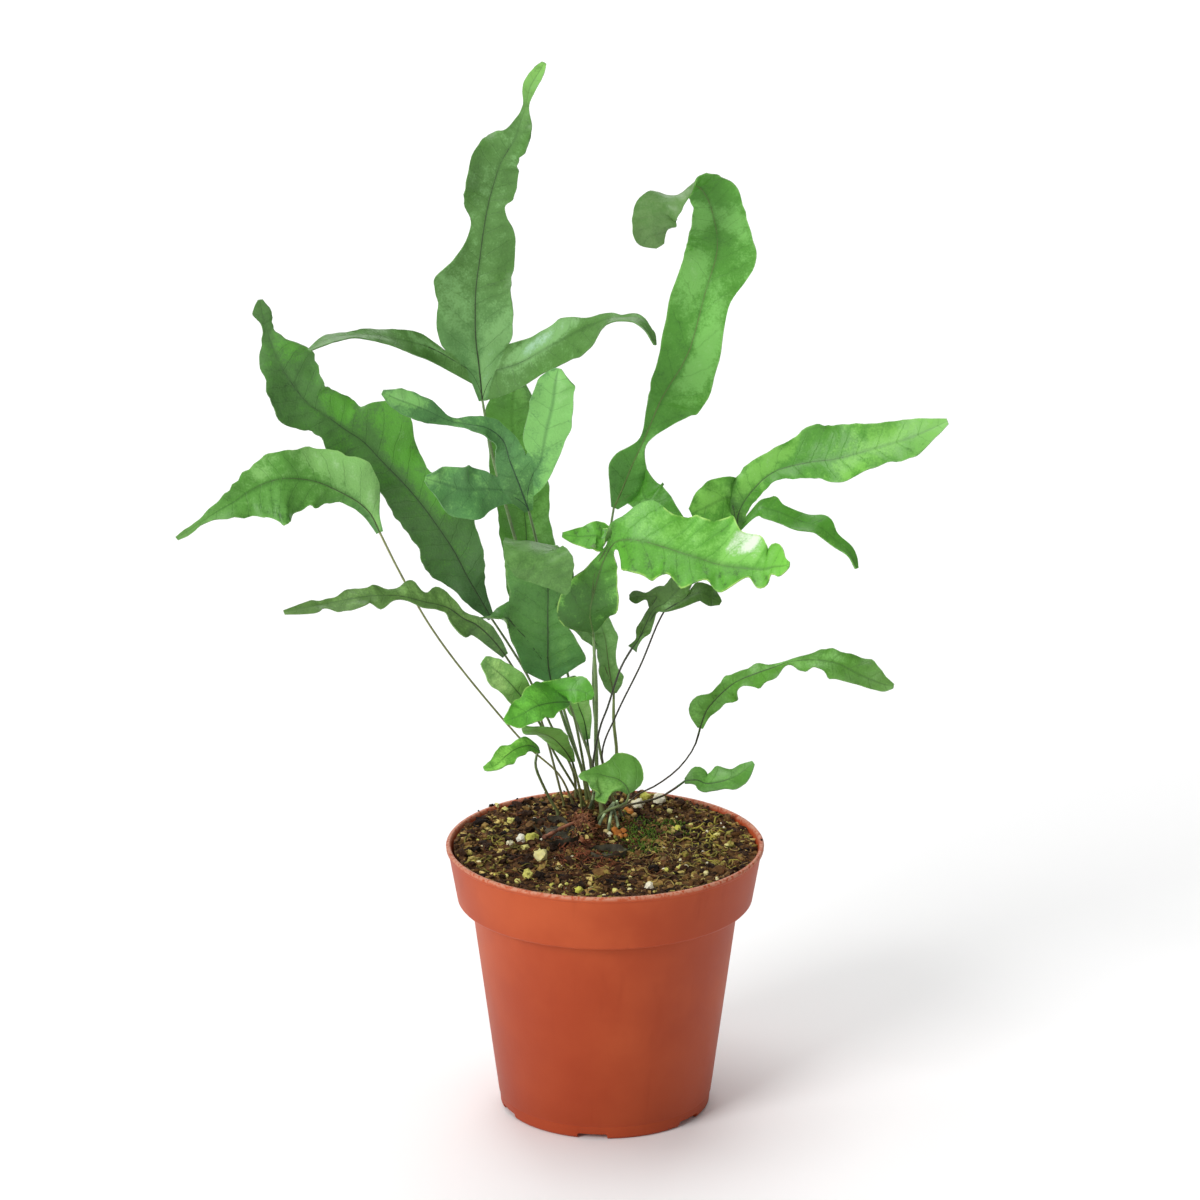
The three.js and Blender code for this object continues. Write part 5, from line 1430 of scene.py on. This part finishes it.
# young stems, bud scales and the two dark flakes beside the crown
crown = {
    "stems": [
        [(-2.6, 19, 88.5), (-1.6, 19.5, 92), (0.6, 20.5, 95.5), (3.0, 21, 98.5)],
        [(0.8, 14.5, 88.3), (1.4, 15.5, 92), (2.2, 18, 96), (3.2, 20, 99)],
        [(4.6, 18, 88.5), (4.2, 18.5, 92), (3.2, 19.5, 95.5), (2.4, 20, 98.5)],
        [(6.6, 30, 89), (5.4, 26, 92.5), (4.6, 23, 96), (4, 21, 99)],
        [(-5.6, 36, 90), (-4.4, 34, 94), (-3.8, 31, 98), (-3.4, 28, 101)],
    ],
    # the stems' colour is lighter than their own pale green: painted light where they stand in shade
    "stemRadius": 0.48, "stemColour": (196, 220, 168),
    "buds": [(4.4, 14.3, 1.9), (6.2, 15.6, 1.5), (3.2, 15.8, 1.3), (5.2, 12.6, 1.2), (7.0, 13.2, 1.0),
             (0.4, 13.9, 1.1), (-2.4, 19.0, 1.0), (8.6, 33.0, 1.8), (7.0, 35.0, 1.4), (10.0, 30.5, 1.2)],
    "seed": 2, "budTones": [(0.0, (150, 86, 36)), (0.5, (206, 132, 58)), (1.0, (206, 190, 130))],
    # name, middle and size in mm, and how far it is turned
    "flakes": [("slateFlake", (-16.5, 13.0, 89.9), (11, 21, 1.8), 0.35),
               ("dampFlake", (1.0, -5.0, 88.7), (11, 10, 1.8), 0.5)],
    "flakeLean": (0.05, -0.06), "flakeBevel": 3.4, "flakeRough": 1.1,
    "flakeColour": (84, 80, 62), "flakeDark": (42, 37, 29),
}


def growCrown(look):
    lines = []
    for path in look["stems"]:
        points = [curveAt(path, k / 12) for k in range(13)]
        lines.append((points, [look["stemRadius"] * (1.25 - 0.03 * k) for k in range(13)]))
    stems = drawStrands("youngStems", lines, 2)
    smoothOff(stems, 60)
    handOver(stems, makeFibre("youngStemGreen", look["stemColour"]))

    luck = random.Random(look["seed"])
    models = [shapeBit("bud", 2, 0.12, 40 + k) for k in range(3)]
    spots = [(luck.randrange(3), setDown(luck, x, y, soilTop(x, y) + 0.6, (size, size * 0.8, size * 0.9)),
              luck.random()) for x, y, size in look["buds"]]
    gatherBits("budScales", models, spots, makeBits("budScale", look["budTones"], 0.6, 0.5))

    slate = makeMottled("slateGrey", 0.3, look["flakeDark"], look["flakeColour"], (240, 5, 0.65),
                        (0.35, 0.65), (0.6, 0.3), (0.8, 0.0008))
    for name, middle, size, turn in look["flakes"]:
        bpy.ops.mesh.primitive_cube_add(size=1, location=Vector(middle) * mm,
                                        rotation=(*look["flakeLean"], turn), scale=Vector(size) * mm)
        flake = nameIt(name)
        bpy.ops.object.transform_apply(location=True, rotation=True, scale=True)
        openUp()
        bpy.ops.mesh.bevel(offset=look["flakeBevel"] * mm, segments=2, affect="EDGES")
        bpy.ops.mesh.subdivide(number_cuts=3)
        closeUp()
        weldUp(flake)
        for vertex in flake.data.vertices:
            rough = noise.fractal(vertex.co * 160, 1.0, 2.0, 3)
            vertex.co += Vector((1, 1, 0.5)) * rough * look["flakeRough"] * mm
        smoothOff(flake, 45)
        handOver(flake, slate)


growCrown(crown)
print("crown grown")


letGo()
bpy.context.view_layer.update()
